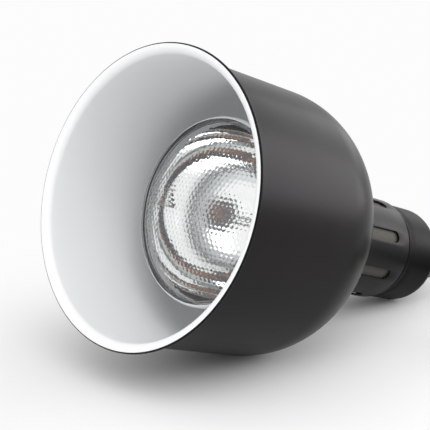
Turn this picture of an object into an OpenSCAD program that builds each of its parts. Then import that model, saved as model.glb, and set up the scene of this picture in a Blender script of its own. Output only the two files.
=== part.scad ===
// Pendant food heat lamp, lying on its side as it is put down beside its cord.
// The lamp is drawn along +z from the rim plane to the cap, then tipped onto the table.

/* [Shade] */
// Outer diameter of the straight body
shade_d = 174.4; // [150:0.2:226]
// Wall of the spun shade
shade_wall = 1.2; // [0.8:0.1:2]
// Height from the rim plane to the start of the shoulder
shade_straight = 93; // [70:1:130]
// Radius of the round shoulder
shoulder_r = 59.2; // [50:0.1:75]
// Radius of the flare behind the rim
flare_r = 3.6; // [2:0.1:6]
// Flat between the flare and the rolled edge
lip_flat = 0.6; // [0.2:0.1:8]
// Radius of the rolled edge
hem_r = 1.1; // [0.8:0.1:2]
// Length of the collar that the neck tube fits over
collar_h = 11; // [8:0.5:16]

/* [Neck] */
// Outer diameter of the inner tube where the cap slides over it
tube_d = 64.8; // [62:0.1:80]
// How far the inner tube swells out behind the slots
tube_swell = 1.8; // [1.2:0.1:4]
// Wall of the inner tube
tube_wall = 0.9; // [0.6:0.1:1.5]
// Gap between the inner tube and the slotted sleeve
air_gap = 0.6; // [0.4:0.1:4]
// Wall of the sleeve
sleeve_wall = 1.2; // [0.8:0.1:1.6]
// Length of the sleeve
sleeve_l = 78.2; // [60:0.1:100]
// Number of slots
slots = 8; // [4:1:12]
// Width of a slot
slot_w = 8.3; // [5:0.1:10]
// Distance from each end of the sleeve to its slots
slot_inset = 13.2; // [8:0.1:20]

/* [Cap] */
// Length of the cap
cap_l = 43.3; // [36:0.1:60]
// Radius of the cap's corner
cap_corner = 11.5; // [6:0.1:16]
// Wall of the cap
cap_wall = 1.6; // [1.2:0.1:2]
// Groove between the sleeve and the cap
seam_gap = 1; // [0.6:0.1:2]

/* [Bulb] */
// Diameter of the bulb's lens
bulb_d = 121; // [95:1:130]
// Length of the bulb from lens to contact
bulb_l = 137; // [126:0.5:150]
// Radius of curvature of the lens
lens_r = 200; // [150:5:250]
// Diameter of the screw base
base_d = 26.4; // [26:0.1:26.5]

/* [Lampholder] */
// Diameter of the porcelain body
holder_d = 50; // [44:0.5:56]
// Length of the porcelain body
holder_l = 55; // [50:0.5:70]
// Depth of the lampholder's strap below the inner tube's end
strap_drop = 28.7; // [24:0.1:40]

/* [Cord] */
// Diameter of the cord
cord_d = 7; // [6:0.1:8.4]
// Diameter of the cord grip's nut
nut_d = 29; // [26:0.5:32]
// Diameter of the plug's face
plug_d = 37; // [34:0.5:40]

/* [Hidden] */
$fn = 96;

// Clearances
fit_gap = 0.1;
seat_gap = 0.1;
thread_gap = 0.2;

// Shade, as radii and heights along the lamp
shade_r = shade_d / 2;
lip_r = shade_r + flare_r;
hem_c = lip_r + lip_flat;
rim_r = hem_c + hem_r;
tube_r = tube_d / 2;
swell_r = tube_r + tube_swell;
sleeve_r = swell_r + air_gap + sleeve_wall;
collar_r = swell_r - tube_wall - fit_gap;
shoulder_c = shade_r - shoulder_r;
collar_z = shade_straight + shoulder_r + collar_h - 0.1;
function shoulder_z(r) = shade_straight + sqrt(pow(shoulder_r, 2) - pow(max(r - shoulder_c, 0), 2));
function shoulder_end(r, arc_r) = r > shoulder_c ? acos((r - shoulder_c) / arc_r) : 90;
function flat_top(r, z) = r < shoulder_c ? [[r, z]] : [];

// Neck and cap heights
sleeve_z0 = shoulder_z(sleeve_r - sleeve_wall) + seat_gap;
sleeve_z1 = sleeve_z0 + sleeve_l;
tube_z0 = shoulder_z(swell_r - tube_wall) + seat_gap;
cap_z0 = sleeve_z1 + seam_gap;
cap_z1 = cap_z0 + cap_l;
cap_bore_r = tube_r + 0.35;
cap_r = cap_bore_r + cap_wall + 0.05;
cap_inside_z = cap_z1 - cap_wall;
tube_z1 = cap_z0 + 12;

// The lamp lies on its shoulder and on the corner of its cap
corner_c = cap_r - cap_corner;
corner_z = cap_z1 - cap_corner;
span_z = corner_z - shade_straight;
span_r = corner_c - shoulder_c;
tilt = asin((shoulder_r - cap_corner) / sqrt(pow(span_z, 2) + pow(span_r, 2))) - atan2(span_r, span_z);
rim_z = shade_straight * sin(tilt) + shoulder_c * cos(tilt) + shoulder_r;

// Screws and rivets
grub_r = 1.45;
grub_z = cap_z0 + 4.8;
grub_turn = 288;
rivet_r = 1.6;
rivet_z = tube_z0 + 6;

// Lampholder heights: it hangs from a strap across the inner tube
holder_r = holder_d / 2;
strap_z = tube_z1 - strap_drop;
strap_t = 2;
strap_w = 13;
strap_r = tube_r - tube_wall - 0.2;
leg_t = 1.6;
swell_z = strap_z + 3;
holder_z1 = strap_z - 0.3;
holder_z0 = holder_z1 - holder_l;
terminal_x = 11;
holder_screw_y = 15;
earth_y = strap_r - leg_t - 4.7;
barrel_y = earth_y - 4.8;

// Bulb heights: its base is screwed home in the lampholder
bulb_r = bulb_d / 2;
base_r = base_d / 2;
base_z = holder_z0 - 1.5;
tip_z = base_z + 27.5;
bulb_front = tip_z - bulb_l;
lens_edge_r = bulb_r - 3.5;
lens_t = 3.5;
function lens_z(r) = bulb_front + lens_r - sqrt(pow(lens_r, 2) - pow(r, 2));
lens_back = lens_z(lens_edge_r) + 5.5;
skirt_z = base_z - 31;
neck_r = 19.5;
boss_r = 15;
bowl_z = lens_back + 6;
bowl_in_r = bulb_r - 4.3;
bowl_out_r = bulb_r - 1.1;
bowl_wall = 3.5;
glass_end = skirt_z + 4;
bowl_floor = glass_end - 10.5;
bowl_depth = (bowl_floor - bowl_z) / sqrt(1 - pow(boss_r / bowl_in_r, 2));
function bowl_end(r, end_r, depth) = bowl_z + depth * sqrt(1 - pow(end_r / r, 2));
filament_z = bowl_floor - 24;
lead_gap = 22;
lead_turn = 78;

shell_t = 0.45;
shell_r = base_r + 0.55 + shell_t;
holder_bore_r = shell_r + 0.5;
holder_floor = tip_z + 2.6;

// Cord grip
cord_r = cord_d / 2;
stem_r = cord_r + 6.5;
seal_r = stem_r - 2.5;
washer_t = 1;
flange_z = cap_z1 + washer_t;
flange_t = 6;
nut_z0 = flange_z + flange_t + 0.3;
nut_l = 27.5;
nut_z1 = nut_z0 + nut_l;
nut_r = nut_d / 2;
relief_z0 = nut_z0 + 12.5;
relief_z1 = nut_z1 + 22;
tail_z0 = cap_z1 - 18.3;

// Frame: middle of the lamp's footprint without the cord, on the table
nut_dome = 5;
low_x = hem_r * (cos(tilt) - 1) - hem_c * sin(tilt);
high_x = (nut_z1 - nut_dome) * cos(tilt) + (nut_r - nut_dome) * sin(tilt) + nut_dome;
rim_x = -(low_x + high_x) / 2;

// Free cord, from the strain relief to the coil
cord_exit = [rim_x + relief_z1 * cos(tilt), 0, rim_z - relief_z1 * sin(tilt)];
cord_route = [
    [186, 0, 11], [192, 0, 9.1], [198.5, 0, 7.2], [205, -0.4, 5.6], [211.5, -1.6, 4.7],
    [218, -4.2, 4.4], [224.5, -8.6, 4.4], [230.5, -14.8, 4.4], [235.5, -22.4, 4.4],
    [239.4, -31, 4.4], [242.2, -40.5, 4.4], [244, -50.5, 4.4], [244.8, -61, 4.4],
    [245, -72, 4.4], [245, -77, 4.4]
];

// Coil: two layers, wound inwards on the table and outwards on top
coil_turns = 6.25;
coil_pitch = cord_d + 0.6;
coil_in = 29.8;
coil_mid = coil_turns / 2;
coil_start = cord_route[len(cord_route) - 1];
coil_x = coil_start[0] - coil_r(0);
coil_y = coil_start[1] - cord_d;
coil_z = coil_start[2];
coil_steps = 24;
climb = 0.25;
function coil_r(t) = coil_in + coil_pitch * (sqrt(pow(t - coil_mid, 2) + 0.0025) - 0.05);
function ease(u) = u < 0 ? 0 : u > 1 ? 1 : u * u * (3 - 2 * u);
function coil_at(t) = [
    coil_x + coil_r(t) * cos(-360 * t),
    coil_y + coil_r(t) * sin(-360 * t),
    coil_z + coil_pitch * ease((t - coil_mid + climb) / (2 * climb))
];
coil_n = round(coil_turns * coil_steps);
coil_loops = [for (i = [0:coil_n]) coil_at(i / coil_steps)];
coil_leaves = coil_loops[coil_n] - [cord_d, 0, 0];
coil_path = concat([coil_loops[0] + [0, cord_d, 0]], coil_loops, [coil_leaves]);
function gap_between(i, j) = norm(coil_path[i] - coil_path[j]) - cord_d;
least_gap = min([
    for (i = [0:coil_n + 2], j = [i + coil_steps / 2:1:coil_n + 2]) gap_between(i, j)
]);

// Last stretch, from the coil to the plug
plug_face_z = 60;
plug_axis_z = plug_d / 2;
end_l = 48;
end_steps = 14;
plug_entry = [coil_leaves[0] - end_l, coil_leaves[1], plug_axis_z];
end_path = [
    for (i = [0:end_steps])
        let (u = i / end_steps)
        [
            coil_leaves[0] - end_l * u,
            coil_leaves[1],
            coil_leaves[2] + (plug_axis_z - coil_leaves[2]) * ease((u - 0.1) / 0.8)
        ]
];

// Length of the cord from the grip's nut to the terminals in the plug
in_plug = 20;
function run(p) = len(p) < 2 ? 0 :
    [for (i = [1:len(p) - 1]) norm(p[i] - p[i - 1])] * [for (i = [2:len(p)]) 1];
free_run = run(concat([cord_exit], cord_route)) + run(coil_path) + run(end_path);
cord_length = relief_z1 - nut_z1 + free_run + in_plug;

// Swept tubes
function unit(v) = v / norm(v);
function along(p, i) = unit(p[min(i + 1, len(p) - 1)] - p[max(i - 1, 0)]);
function ring(p, i, r, sides, first, last, up) =
    let (
        t = i == 0 ? first : i == len(p) - 1 ? last : along(p, i),
        s = unit(cross(t, up)),
        u = cross(s, t)
    )
    [for (k = [0:sides - 1]) let (a = 360 * (k + 0.5) / sides) p[i] + r * (cos(a) * s + sin(a) * u)];

module swept(p, r, sides, first, last, up = [0, 0, 1]) {
    n = len(p);
    points = [for (i = [0:n - 1]) each ring(p, i, r, sides, first, last, up)];
    walls = [
        for (i = [0:n - 2], k = [0:sides - 1])
            let (a = i * sides + k, b = i * sides + (k + 1) % sides)
            each [[a, b, b + sides], [a, b + sides, a + sides]]
    ];
    near_end = [for (k = [1:sides - 2]) [0, k + 1, k]];
    far_end = [for (k = [1:sides - 2]) let (o = (n - 1) * sides) [o, o + k, o + k + 1]];
    polyhedron(points = points, faces = [for (f = concat(walls, near_end, far_end)) [f[2], f[1], f[0]]]);
}

function arc(cr, cz, r, from, to, n, skip = 0) =
    [for (i = [skip:n]) let (a = from + (to - from) * i / n) [cr + r * cos(a), cz + r * sin(a)]];

module on_table() {
    translate([rim_x, 0, rim_z]) rotate([0, 90 + tilt, 0]) children();
}

module ring_of(count, turn = 0) {
    for (i = [0:count - 1]) rotate([0, 0, turn + 360 * i / count]) children();
}

module tube_part(outer, inner, from, to) {
    difference() {
        translate([0, 0, from]) cylinder(r = outer, h = to - from);
        translate([0, 0, from - 1]) cylinder(r = inner, h = to - from + 2);
    }
}

module radial_pin(r, from, to, z) {
    translate([from, 0, z]) rotate([0, 90, 0]) cylinder(r = r, h = to - from, $fn = 32);
}

// Shade: spun bell with a flared lip, a rolled hem, a round shoulder and a collar
module shade_profile() {
    inner = shoulder_r - shade_wall;
    bore = collar_r - shade_wall;
    polygon(concat(
        arc(hem_c, hem_r, hem_r, -90, 120, 14),
        arc(lip_r, flare_r + shade_wall + 0.1, flare_r, 270, 180, 8),
        arc(shoulder_c, shade_straight, shoulder_r, 0, tilt, 6),
        arc(shoulder_c, shade_straight, shoulder_r, tilt, shoulder_end(collar_r, shoulder_r), 20, 1),
        flat_top(collar_r, shade_straight + shoulder_r),
        [[collar_r, collar_z], [bore, collar_z]],
        flat_top(bore, shade_straight + inner),
        arc(shoulder_c, shade_straight, inner, shoulder_end(bore, inner), 0, 26),
        arc(lip_r, flare_r + shade_wall + 0.1, flare_r + shade_wall, 180, 270, 8)
    ));
}

module shade() {
    color("#3b3a3d") on_table() difference() {
        rotate_extrude() shade_profile();
        ring_of(3) radial_pin(rivet_r + 0.05, collar_r - 4, collar_r + 4, rivet_z);
    }
}

// Inner tube: slips over the shade's collar, swells out behind the slots, carries cap and lampholder
module inner_tube() {
    step = 2;
    color("#9a9a90") on_table() difference() {
        rotate_extrude() polygon([
            [swell_r - tube_wall, tube_z0], [swell_r, tube_z0], [swell_r, swell_z],
            [tube_r, swell_z + step], [tube_r, tube_z1], [tube_r - tube_wall, tube_z1],
            [tube_r - tube_wall, swell_z + step - 0.4], [swell_r - tube_wall, swell_z - 0.4]
        ]);
        ring_of(3) rivet_hole();
        ring_of(3, grub_turn) radial_pin(grub_r + 0.05, tube_r - 4, tube_r + 4, grub_z);
        ring_of(2, 90) radial_pin(grub_r + 0.05, tube_r - 4, tube_r + 4, strap_z + 8);
    }
}

// Rivets: countersunk in the tube, so that they stay clear of the sleeve
rivet_sink = 0.75;
rivet_top = swell_r - 0.12;
module rivet_hole() {
    radial_pin(rivet_r + 0.05, swell_r - 4, swell_r + 4, rivet_z);
    translate([rivet_top - rivet_sink, 0, rivet_z]) rotate([0, 90, 0])
        cylinder(r1 = rivet_r + 0.05, r2 = 2 * rivet_r + 0.05, h = rivet_sink, $fn = 32);
    radial_pin(2 * rivet_r + 0.05, rivet_top, swell_r + 1, rivet_z);
}

module blind_rivet() {
    radial_pin(rivet_r, collar_r - shade_wall - 0.6, rivet_top - rivet_sink / 2, rivet_z);
    translate([rivet_top - rivet_sink, 0, rivet_z]) rotate([0, 90, 0])
        cylinder(r1 = rivet_r - 0.05, r2 = 2 * rivet_r - 0.05, h = rivet_sink, $fn = 32);
    radial_pin(rivet_r * 1.5, collar_r - shade_wall - 1.1, collar_r - shade_wall - 0.25, rivet_z);
}

module tube_rivets() {
    color("silver") on_table() ring_of(3) blind_rivet();
}

// Sleeve: slotted tube that stands clear round the hot inner tube
module slot_cut() {
    low = sleeve_z0 + slot_inset + slot_w / 2;
    high = sleeve_z1 - slot_inset - slot_w / 2;
    from = swell_r - 2;
    radial_pin(slot_w / 2, from, sleeve_r + 2, low);
    radial_pin(slot_w / 2, from, sleeve_r + 2, high);
    translate([from, -slot_w / 2, low]) cube([sleeve_r + 2 - from, slot_w, high - low]);
}

module vented_sleeve() {
    edge = 0.5;
    color("#39383b") on_table() difference() {
        rotate_extrude() polygon(concat(
            [[sleeve_r - sleeve_wall, sleeve_z0], [sleeve_r, sleeve_z0]],
            arc(sleeve_r - edge, sleeve_z1 - edge, edge, 0, 90, 5),
            [[sleeve_r - sleeve_wall, sleeve_z1]]
        ));
        ring_of(slots, 26.4) slot_cut();
    }
}

// Cap: beaded mouth, shallow neck, straight side, round corner and flat crown
module cap() {
    bead = 0.7;
    color("#343336") on_table() difference() {
        rotate_extrude() polygon(concat(
            [[cap_bore_r, cap_z0], [cap_r - bead, cap_z0]],
            arc(cap_r - 1.5, cap_z0 + 2.2, 1.7, -45, 35, 8),
            [[cap_r - 0.5, cap_z0 + 5], [cap_r - 0.1, cap_z0 + 8], [cap_r, cap_z0 + 12]],
            arc(corner_c, corner_z, cap_corner, 0, tilt, 3),
            arc(corner_c, corner_z, cap_corner, tilt, 90, 11, 1),
            [[stem_r + thread_gap, cap_z1], [stem_r + thread_gap, cap_inside_z]],
            arc(corner_c, corner_z, cap_corner - cap_wall, 90, 0, 14),
            [[cap_bore_r, cap_z0 + 14]]
        ));
        ring_of(3, grub_turn) radial_pin(grub_r + 0.05, cap_bore_r - 2, cap_r + 3, grub_z);
    }
}

// Grub screws: hold the cap on the inner tube
module cap_screws() {
    color("#2a2a2c") on_table() ring_of(3, grub_turn) difference() {
        radial_pin(grub_r, tube_r - tube_wall - 1.2, cap_r - 0.6, grub_z);
        translate([cap_r - 1.6, 0, grub_z]) rotate([0, 90, 0]) cylinder(r = 0.85, h = 2, $fn = 6);
    }
}

// Strap: bent steel bridge inside the tube, with two legs and a wire hole
module strap_slab(from, to) {
    translate([-strap_w / 2, -tube_r, from]) cube([strap_w, 2 * tube_r, to - from]);
}

module holder_bracket() {
    leg_l = 14;
    color("#8f9296") on_table() difference() {
        union() {
            intersection() {
                translate([0, 0, strap_z]) cylinder(r = strap_r, h = strap_t);
                strap_slab(strap_z, strap_z + strap_t);
            }
            intersection() {
                tube_part(strap_r, strap_r - leg_t, strap_z + strap_t / 2, strap_z + leg_l);
                strap_slab(strap_z, strap_z + leg_l);
            }
        }
        translate([0, 0, strap_z - 1]) cylinder(r = 5, h = strap_t + 2);
        for (s = [-1, 1])
            translate([0, s * holder_screw_y, strap_z - 1]) cylinder(r = 2.1, h = strap_t + 2);
        translate([0, earth_y, strap_z - 1]) cylinder(r = 1.95, h = strap_t + 2);
        ring_of(2, 90) radial_pin(grub_r + 0.05, strap_r - 4, strap_r + 4, strap_z + 8);
    }
}

module bracket_screws() {
    color("silver") on_table() ring_of(2, 90) {
        radial_pin(grub_r, strap_r - 3.6, tube_r + 0.4, strap_z + 8);
        radial_pin(2.8, tube_r + 0.15, tube_r + 1.7, strap_z + 8);
    }
}

// Lampholder: glazed porcelain with a bore for the shell and two terminal pockets
module terminal_pocket(side) {
    translate([side * terminal_x - 4.5, -7, holder_z1 - 12]) cube([9, 14, 13]);
}

module lampholder_body() {
    color("#e6e2d6") on_table() difference() {
        rotate_extrude() polygon(concat(
            [[holder_bore_r, holder_z0]],
            arc(holder_r - 2.5, holder_z0 + 2.5, 2.5, -90, 0, 6),
            [[holder_r, holder_z0 + 9], [holder_r - 1.2, holder_z0 + 11], [holder_r - 1.2, holder_z1 - 14]],
            [[holder_r, holder_z1 - 12]],
            arc(holder_r - 1.5, holder_z1 - 1.5, 1.5, 0, 90, 4),
            [[0, holder_z1], [0, holder_floor + 6.5], [10, holder_floor + 6.5], [10, holder_floor]],
            [[holder_bore_r, holder_floor]]
        ));
        for (s = [-1, 1]) terminal_pocket(s);
        translate([-7.4, 0, holder_floor]) cylinder(r = 1.3, h = holder_l - 28, $fn = 32);
        translate([12, 0, holder_floor - 1]) cylinder(r = 1.1, h = holder_l - 28, $fn = 32);
        for (s = [-1, 1]) translate([0, s * holder_screw_y, holder_z1 - 10]) cylinder(r = 2.1, h = 11);
    }
}

module lampholder_shell() {
    color("#c9b27a") on_table() difference() {
        union() {
            tube_part(shell_r, shell_r - shell_t, holder_z0 + 1.5, holder_floor - seat_gap);
            tube_part(shell_r - 0.2, 10.2, holder_floor - seat_gap - 0.5, holder_floor - seat_gap);
        }
        translate([12, 0, holder_floor - 3]) cylinder(r = 1.1, h = 4, $fn = 32);
    }
}

// Spring contact: strip riveted to the floor of the well, bent round to the bulb's tip
module strip(p, t) {
    n = len(p);
    side = [for (i = [0:n - 1]) let (d = along(p, i)) t / 2 * [-d[1], d[0]]];
    polygon(concat([for (i = [0:n - 1]) p[i] + side[i]], [for (i = [n - 1:-1:0]) p[i] - side[i]]));
}

module centre_contact() {
    t = 0.6;
    top = holder_floor + 6.5 - seat_gap - t / 2;
    tip = tip_z + 0.2 + t / 2;
    color("#d9b45a") on_table() difference() {
        translate([0, 2.5, 0]) rotate([90, 0, 0]) linear_extrude(height = 5) strip([
            [-9.4, top], [-3.4, top], [0.5, top - 0.6], [3.8, top - 2.6], [4.8, top - 4.8],
            [4, top - 6.8], [2, tip + 0.2], [-2.6, tip]
        ], t);
        translate([-7.4, 0, top - 2]) cylinder(r = 1.3, h = 4, $fn = 32);
    }
}

module contact_rivets() {
    run = holder_z1 - 12 - holder_floor;
    color("#d9b45a") on_table() {
        translate([-7.4, 0, holder_floor + 5.3]) cylinder(r = 1.2, h = run - 5.3, $fn = 32);
        translate([-7.4, 0, holder_floor + 5]) cylinder(r = 1.6, h = 0.7, $fn = 32);
        translate([12, 0, holder_floor - 1]) cylinder(r = 1, h = run + 1, $fn = 32);
        translate([12, 0, holder_floor - 1.35]) cylinder(r = 1.5, h = 0.7, $fn = 32);
    }
}

// Terminals: brass blocks in the pockets, each with a wire hole and a clamping screw
module wire_terminals() {
    z0 = holder_z1 - 12 + seat_gap;
    color("#d0a850") on_table() for (s = [-1, 1]) difference() {
        translate([s * terminal_x - 4, -6, z0]) cube([8, 12, 9]);
        translate([s * terminal_x, -3, z0 + 4]) cylinder(r = 1.25, h = 6, $fn = 32);
        translate([s * terminal_x, 3, z0 + 3]) cylinder(r = 1.35, h = 7, $fn = 32);
    }
}

module slotted_screw(r, head_r, from, seat, head_h) {
    difference() {
        union() {
            translate([0, 0, from]) cylinder(r = r, h = seat - from + 0.1, $fn = 32);
            translate([0, 0, seat]) cylinder(r = head_r, h = head_h, $fn = 48);
        }
        translate([-head_r - 1, -0.4, seat + head_h * 0.55]) cube([2 * head_r + 2, 0.8, head_h]);
    }
}

module terminal_screws() {
    z0 = holder_z1 - 12 + seat_gap;
    color("silver") on_table() for (s = [-1, 1])
        translate([s * terminal_x, 3, 0]) slotted_screw(1.25, 2.6, z0 + 3.5, z0 + 9 + seat_gap, 2);
}

module holder_screws() {
    color("silver") on_table() for (s = [-1, 1])
        translate([0, s * holder_screw_y, 0])
            slotted_screw(1.95, 3.3, holder_z1 - 9, strap_z + strap_t + seat_gap, 2.4);
}

// Earth tag: ring terminal with an upright barrel, under its own screw
module earth_tag() {
    z0 = strap_z + strap_t + seat_gap;
    color("#c9c9c4") on_table() difference() {
        union() {
            translate([0, earth_y, z0]) cylinder(r = 3.8, h = 0.8);
            translate([-1.6, barrel_y, z0]) cube([3.2, 3, 0.8]);
            translate([0, barrel_y, z0]) cylinder(r = 1.7, h = 6);
        }
        translate([0, earth_y, z0 - 1]) cylinder(r = 1.95, h = 3);
        translate([0, barrel_y, z0 + 2]) cylinder(r = 1.2, h = 5);
    }
}

module earth_screw() {
    seat = strap_z + strap_t + 0.8 + 2 * seat_gap;
    color("silver") on_table() translate([0, earth_y, 0])
        slotted_screw(1.85, 2.9, strap_z + 0.2, seat, 2.2);
}

// Wires: from the end of the sheath to the terminals and the earth tag
wire_r = 1.1;
module wire(points, up) {
    on_table() swept(points, wire_r, 8, [0, 0, -1], [0, 0, -1], up);
}

function terminal_run(s) = [
    [1.5 * s, 0, tail_z0], [1.6 * s, -0.1, tail_z0 - 3], [3 * s, -0.5, tail_z0 - 8],
    [6 * s, -1.4, tail_z0 - 14], [9 * s, -2.4, tail_z0 - 20], [10.8 * s, -2.9, tail_z0 - 26],
    [11 * s, -3, tail_z0 - 33], [11 * s, -3, holder_z1 - 7]
];

module live_wire() {
    color("#7a4a2a") wire(terminal_run(1), [0, 1, 0]);
}

module neutral_wire() {
    color("#2f5f9e") wire(terminal_run(-1), [0, 1, 0]);
}

module earth_wire() {
    tag_z = strap_z + strap_t + 3;
    color("#6f9a3a") wire([
        [0, 1.8, tail_z0], [0, 1.9, tail_z0 - 3], [0, 4, tail_z0 - 8], [0, 9, tail_z0 - 13],
        [0, 15, tail_z0 - 18], [0, 19, tail_z0 - 23], [0, barrel_y, tail_z0 - 29], [0, barrel_y, tag_z]
    ], [1, 0, 0]);
}

// Bulb lens: pressed glass dome with a rounded edge and a rim that seals on the bowl
module bulb_lens() {
    steps = 12;
    inner_edge = lens_edge_r - 1.5;
    color("#dfe8ea") on_table() rotate_extrude() polygon(concat(
        [for (i = [0:steps]) let (r = lens_edge_r * i / steps) [r, lens_z(r)]],
        arc(bulb_r - 3.5, lens_z(lens_edge_r) + 3.6, 3.5, -60, 0, 5),
        [[bulb_r, lens_back], [bulb_r - 4, lens_back]],
        [for (i = [steps:-1:0]) let (r = inner_edge * i / steps) [r, lens_z(r) + lens_t]]
    ));
}

// Bulb reflector: deep pressed glass bowl, silvered inside, on a short glass neck with a flat floor
module at_leads() {
    on_table() rotate([0, 0, lead_turn]) for (s = [-1, 1]) translate([s * lead_gap / 2, 0, 0]) children();
}

module bulb_reflector() {
    steps = 20;
    rim = lens_back + fit_gap / 2;
    out_depth = bowl_depth + bowl_wall;
    out_end = bowl_end(bowl_out_r, neck_r, out_depth);
    function side(r, depth, end_z, t) = let (a = asin((end_z - bowl_z) / depth) * t)
        [r * cos(a), bowl_z + depth * sin(a)];
    color("#c8ccce") difference() {
        on_table() rotate_extrude() polygon(concat(
            [[bulb_r, rim], [bulb_r, rim + 1.8], [bowl_out_r, rim + 2.6]],
            [for (i = [0:steps]) side(bowl_out_r, out_depth, out_end, i / steps)],
            [[neck_r - 1, skirt_z - 1.5], [neck_r - 1, glass_end - 1], [neck_r - 2, glass_end]],
            [[0, glass_end], [0, bowl_floor]],
            [for (i = [steps:-1:0]) side(bowl_in_r, bowl_depth, bowl_floor, i / steps)],
            [[bowl_in_r, rim]]
        ));
        at_leads() translate([0, 0, bowl_floor - 1]) cylinder(r = 3.15, h = 14, $fn = 48);
    }
}

module bulb_ferrules() {
    color("#b5793f") at_leads() {
        translate([0, 0, bowl_floor - 0.4]) cylinder(r = 3.05, h = glass_end + 2 - bowl_floor, $fn = 48);
        translate([0, 0, bowl_floor - 0.8]) cylinder(r = 4, h = 0.7, $fn = 48);
    }
}

module bulb_lead_wires() {
    color("#9c9a94") at_leads() translate([0, 0, filament_z - 1.5])
        cylinder(r = 0.8, h = bowl_floor - 0.85 - filament_z + 1.5, $fn = 24);
}

module bulb_filament() {
    half = lead_gap / 2 - 0.85;
    color("#77757a") on_table() rotate([0, 0, lead_turn]) translate([-half, 0, filament_z])
        rotate([0, 90, 0]) cylinder(r = 1.2, h = 2 * half, $fn = 24);
}

module bulb_feed_wires() {
    from = glass_end + 1.7;
    lead_x = lead_gap / 2;
    run = base_z - from;
    color("#a9a9a4") on_table() rotate([0, 0, lead_turn]) {
        swept([
            [lead_x, 0, from], [lead_x, 0, from + 3], [lead_x - 1.5, 0, from + 0.4 * run],
            [5.5, 0, from + 0.8 * run], [2, 0, base_z + 4], [0, 0, base_z + 11], [0, 0, tip_z - 4.7]
        ], 0.7, 6, [0, 0, 1], [0, 0, 1], [0, 1, 0]);
        swept([
            [-lead_x, 0, from], [-lead_x, 0, from + 3], [-lead_x - 0.3, 0, from + 0.5 * run],
            [-lead_x - 0.6, 0, base_z], [-base_r + 1.5, 0, base_z + 6]
        ], 0.7, 6, [0, 0, 1], [0, 0, 1], [0, 1, 0]);
    }
}

// Skirt: aluminium collar between the glass and the screw base
module bulb_skirt() {
    color("#b9bcc0") on_table() rotate_extrude() polygon([
        [neck_r - 0.9, skirt_z + 0.2], [neck_r - 0.2, skirt_z], [neck_r - 0.3, skirt_z + 6],
        [base_r + 1, base_z - 2.5], [base_r + 0.2, base_z - 0.1], [base_r - 0.3, base_z - 0.1],
        [base_r + 0.5, base_z - 2.7], [neck_r - 0.9, skirt_z + 6]
    ]);
}

module bulb_screw_shell() {
    color("#c7c9cb") on_table() rotate_extrude() polygon([
        [base_r, base_z], [base_r, tip_z - 5], [8.1, tip_z - 2.6], [8.1, tip_z - 3.1],
        [base_r - 0.4, tip_z - 5.2], [base_r - 0.4, base_z]
    ]);
}

module bulb_insulator() {
    color("#1d1d20") on_table() rotate_extrude() polygon([
        [0, tip_z - 4.6], [8, tip_z - 4.6], [8, tip_z - 2.6], [5.4, tip_z - 1.4], [0, tip_z - 1.4]
    ]);
}

module bulb_tip() {
    color("#b8b2a6") on_table() rotate_extrude() polygon([
        [0, tip_z - 1.35], [4.6, tip_z - 1.35], [4.3, tip_z - 0.5], [3, tip_z], [0, tip_z]
    ]);
}

// Cord grip: threaded body with a hexagon, washer, locknut, rubber seal and dome nut
module gland_body() {
    color("#1f1f21") on_table() difference() {
        union() {
            translate([0, 0, cap_inside_z - 9]) cylinder(r = stem_r, h = cap_wall + 9 + washer_t + 1);
            translate([0, 0, flange_z]) cylinder(r = nut_r + 1, h = flange_t, $fn = 6);
            translate([0, 0, flange_z + 1]) cylinder(r = stem_r - 0.3, h = flange_t + 11);
        }
        translate([0, 0, cap_inside_z - 10]) cylinder(r = cord_r + 2, h = 60);
        translate([0, 0, nut_z0 + 1.5]) cylinder(r = seal_r + fit_gap, h = 30);
    }
}

module gland_washer() {
    color("#141414") on_table() tube_part(nut_r - 1.5, stem_r + 0.1, cap_z1 + 0.02, flange_z - 0.02);
}

module gland_locknut() {
    color("#8f9296") on_table() difference() {
        translate([0, 0, cap_inside_z - 4 - seat_gap]) cylinder(r = 14.5, h = 4, $fn = 6);
        translate([0, 0, cap_inside_z - 6]) cylinder(r = stem_r + 0.1, h = 8);
    }
}

module gland_seal() {
    color("#1a1a1a") on_table() rotate_extrude() polygon([
        [cord_r + 0.05, nut_z0 + 1.6], [seal_r, nut_z0 + 1.6], [seal_r, nut_z0 + 10.5],
        [seal_r - 1.5, relief_z0 - 0.1], [cord_r + 0.05, relief_z0 - 0.1]
    ]);
}

module gland_nut() {
    hole = cord_r + 3.7;
    shoulder = relief_z0 + 3.3;
    groove_r = 1.1;
    color("#1f1f21") on_table() difference() {
        rotate_extrude() polygon(concat(
            [[stem_r + 0.1, nut_z0], [nut_r - 0.6, nut_z0], [nut_r, nut_z0 + 0.6]],
            arc(nut_r - nut_dome, nut_z1 - nut_dome, nut_dome, 0, 90, 10),
            [[hole, nut_z1], [hole, shoulder], [stem_r + 0.1, shoulder]]
        ));
        ring_of(12) translate([nut_r + 0.5, 0, nut_z0 + 2]) cylinder(r = groove_r, h = nut_l - 9, $fn = 24);
    }
}

// Strain relief: rubber sleeve with a trapped flange and a ribbed taper
module strain_relief() {
    ribs = 5;
    from = nut_z1 + 2;
    step = (relief_z1 - from) / ribs;
    cut = 0.8;
    thick = cord_r + 3.5;
    function taper(z) = thick - 0.1 - 1.9 * (z - nut_z1) / (relief_z1 - nut_z1);
    color("#1b1b1c") on_table() rotate_extrude() polygon(concat(
        [[cord_r + fit_gap, relief_z0], [stem_r - 0.6, relief_z0], [stem_r - 0.6, relief_z0 + 3.1]],
        [[thick, relief_z0 + 3.1], [thick, nut_z1]],
        [for (i = [0:ribs - 1]) let (z = from + step * i) each [
            [taper(z), z], [taper(z) - cut, z + step * 0.15], [taper(z) - cut, z + step * 0.4],
            [taper(z), z + step * 0.55]
        ]],
        [[taper(relief_z1), relief_z1], [cord_r + fit_gap, relief_z1]]
    ));
}

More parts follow.
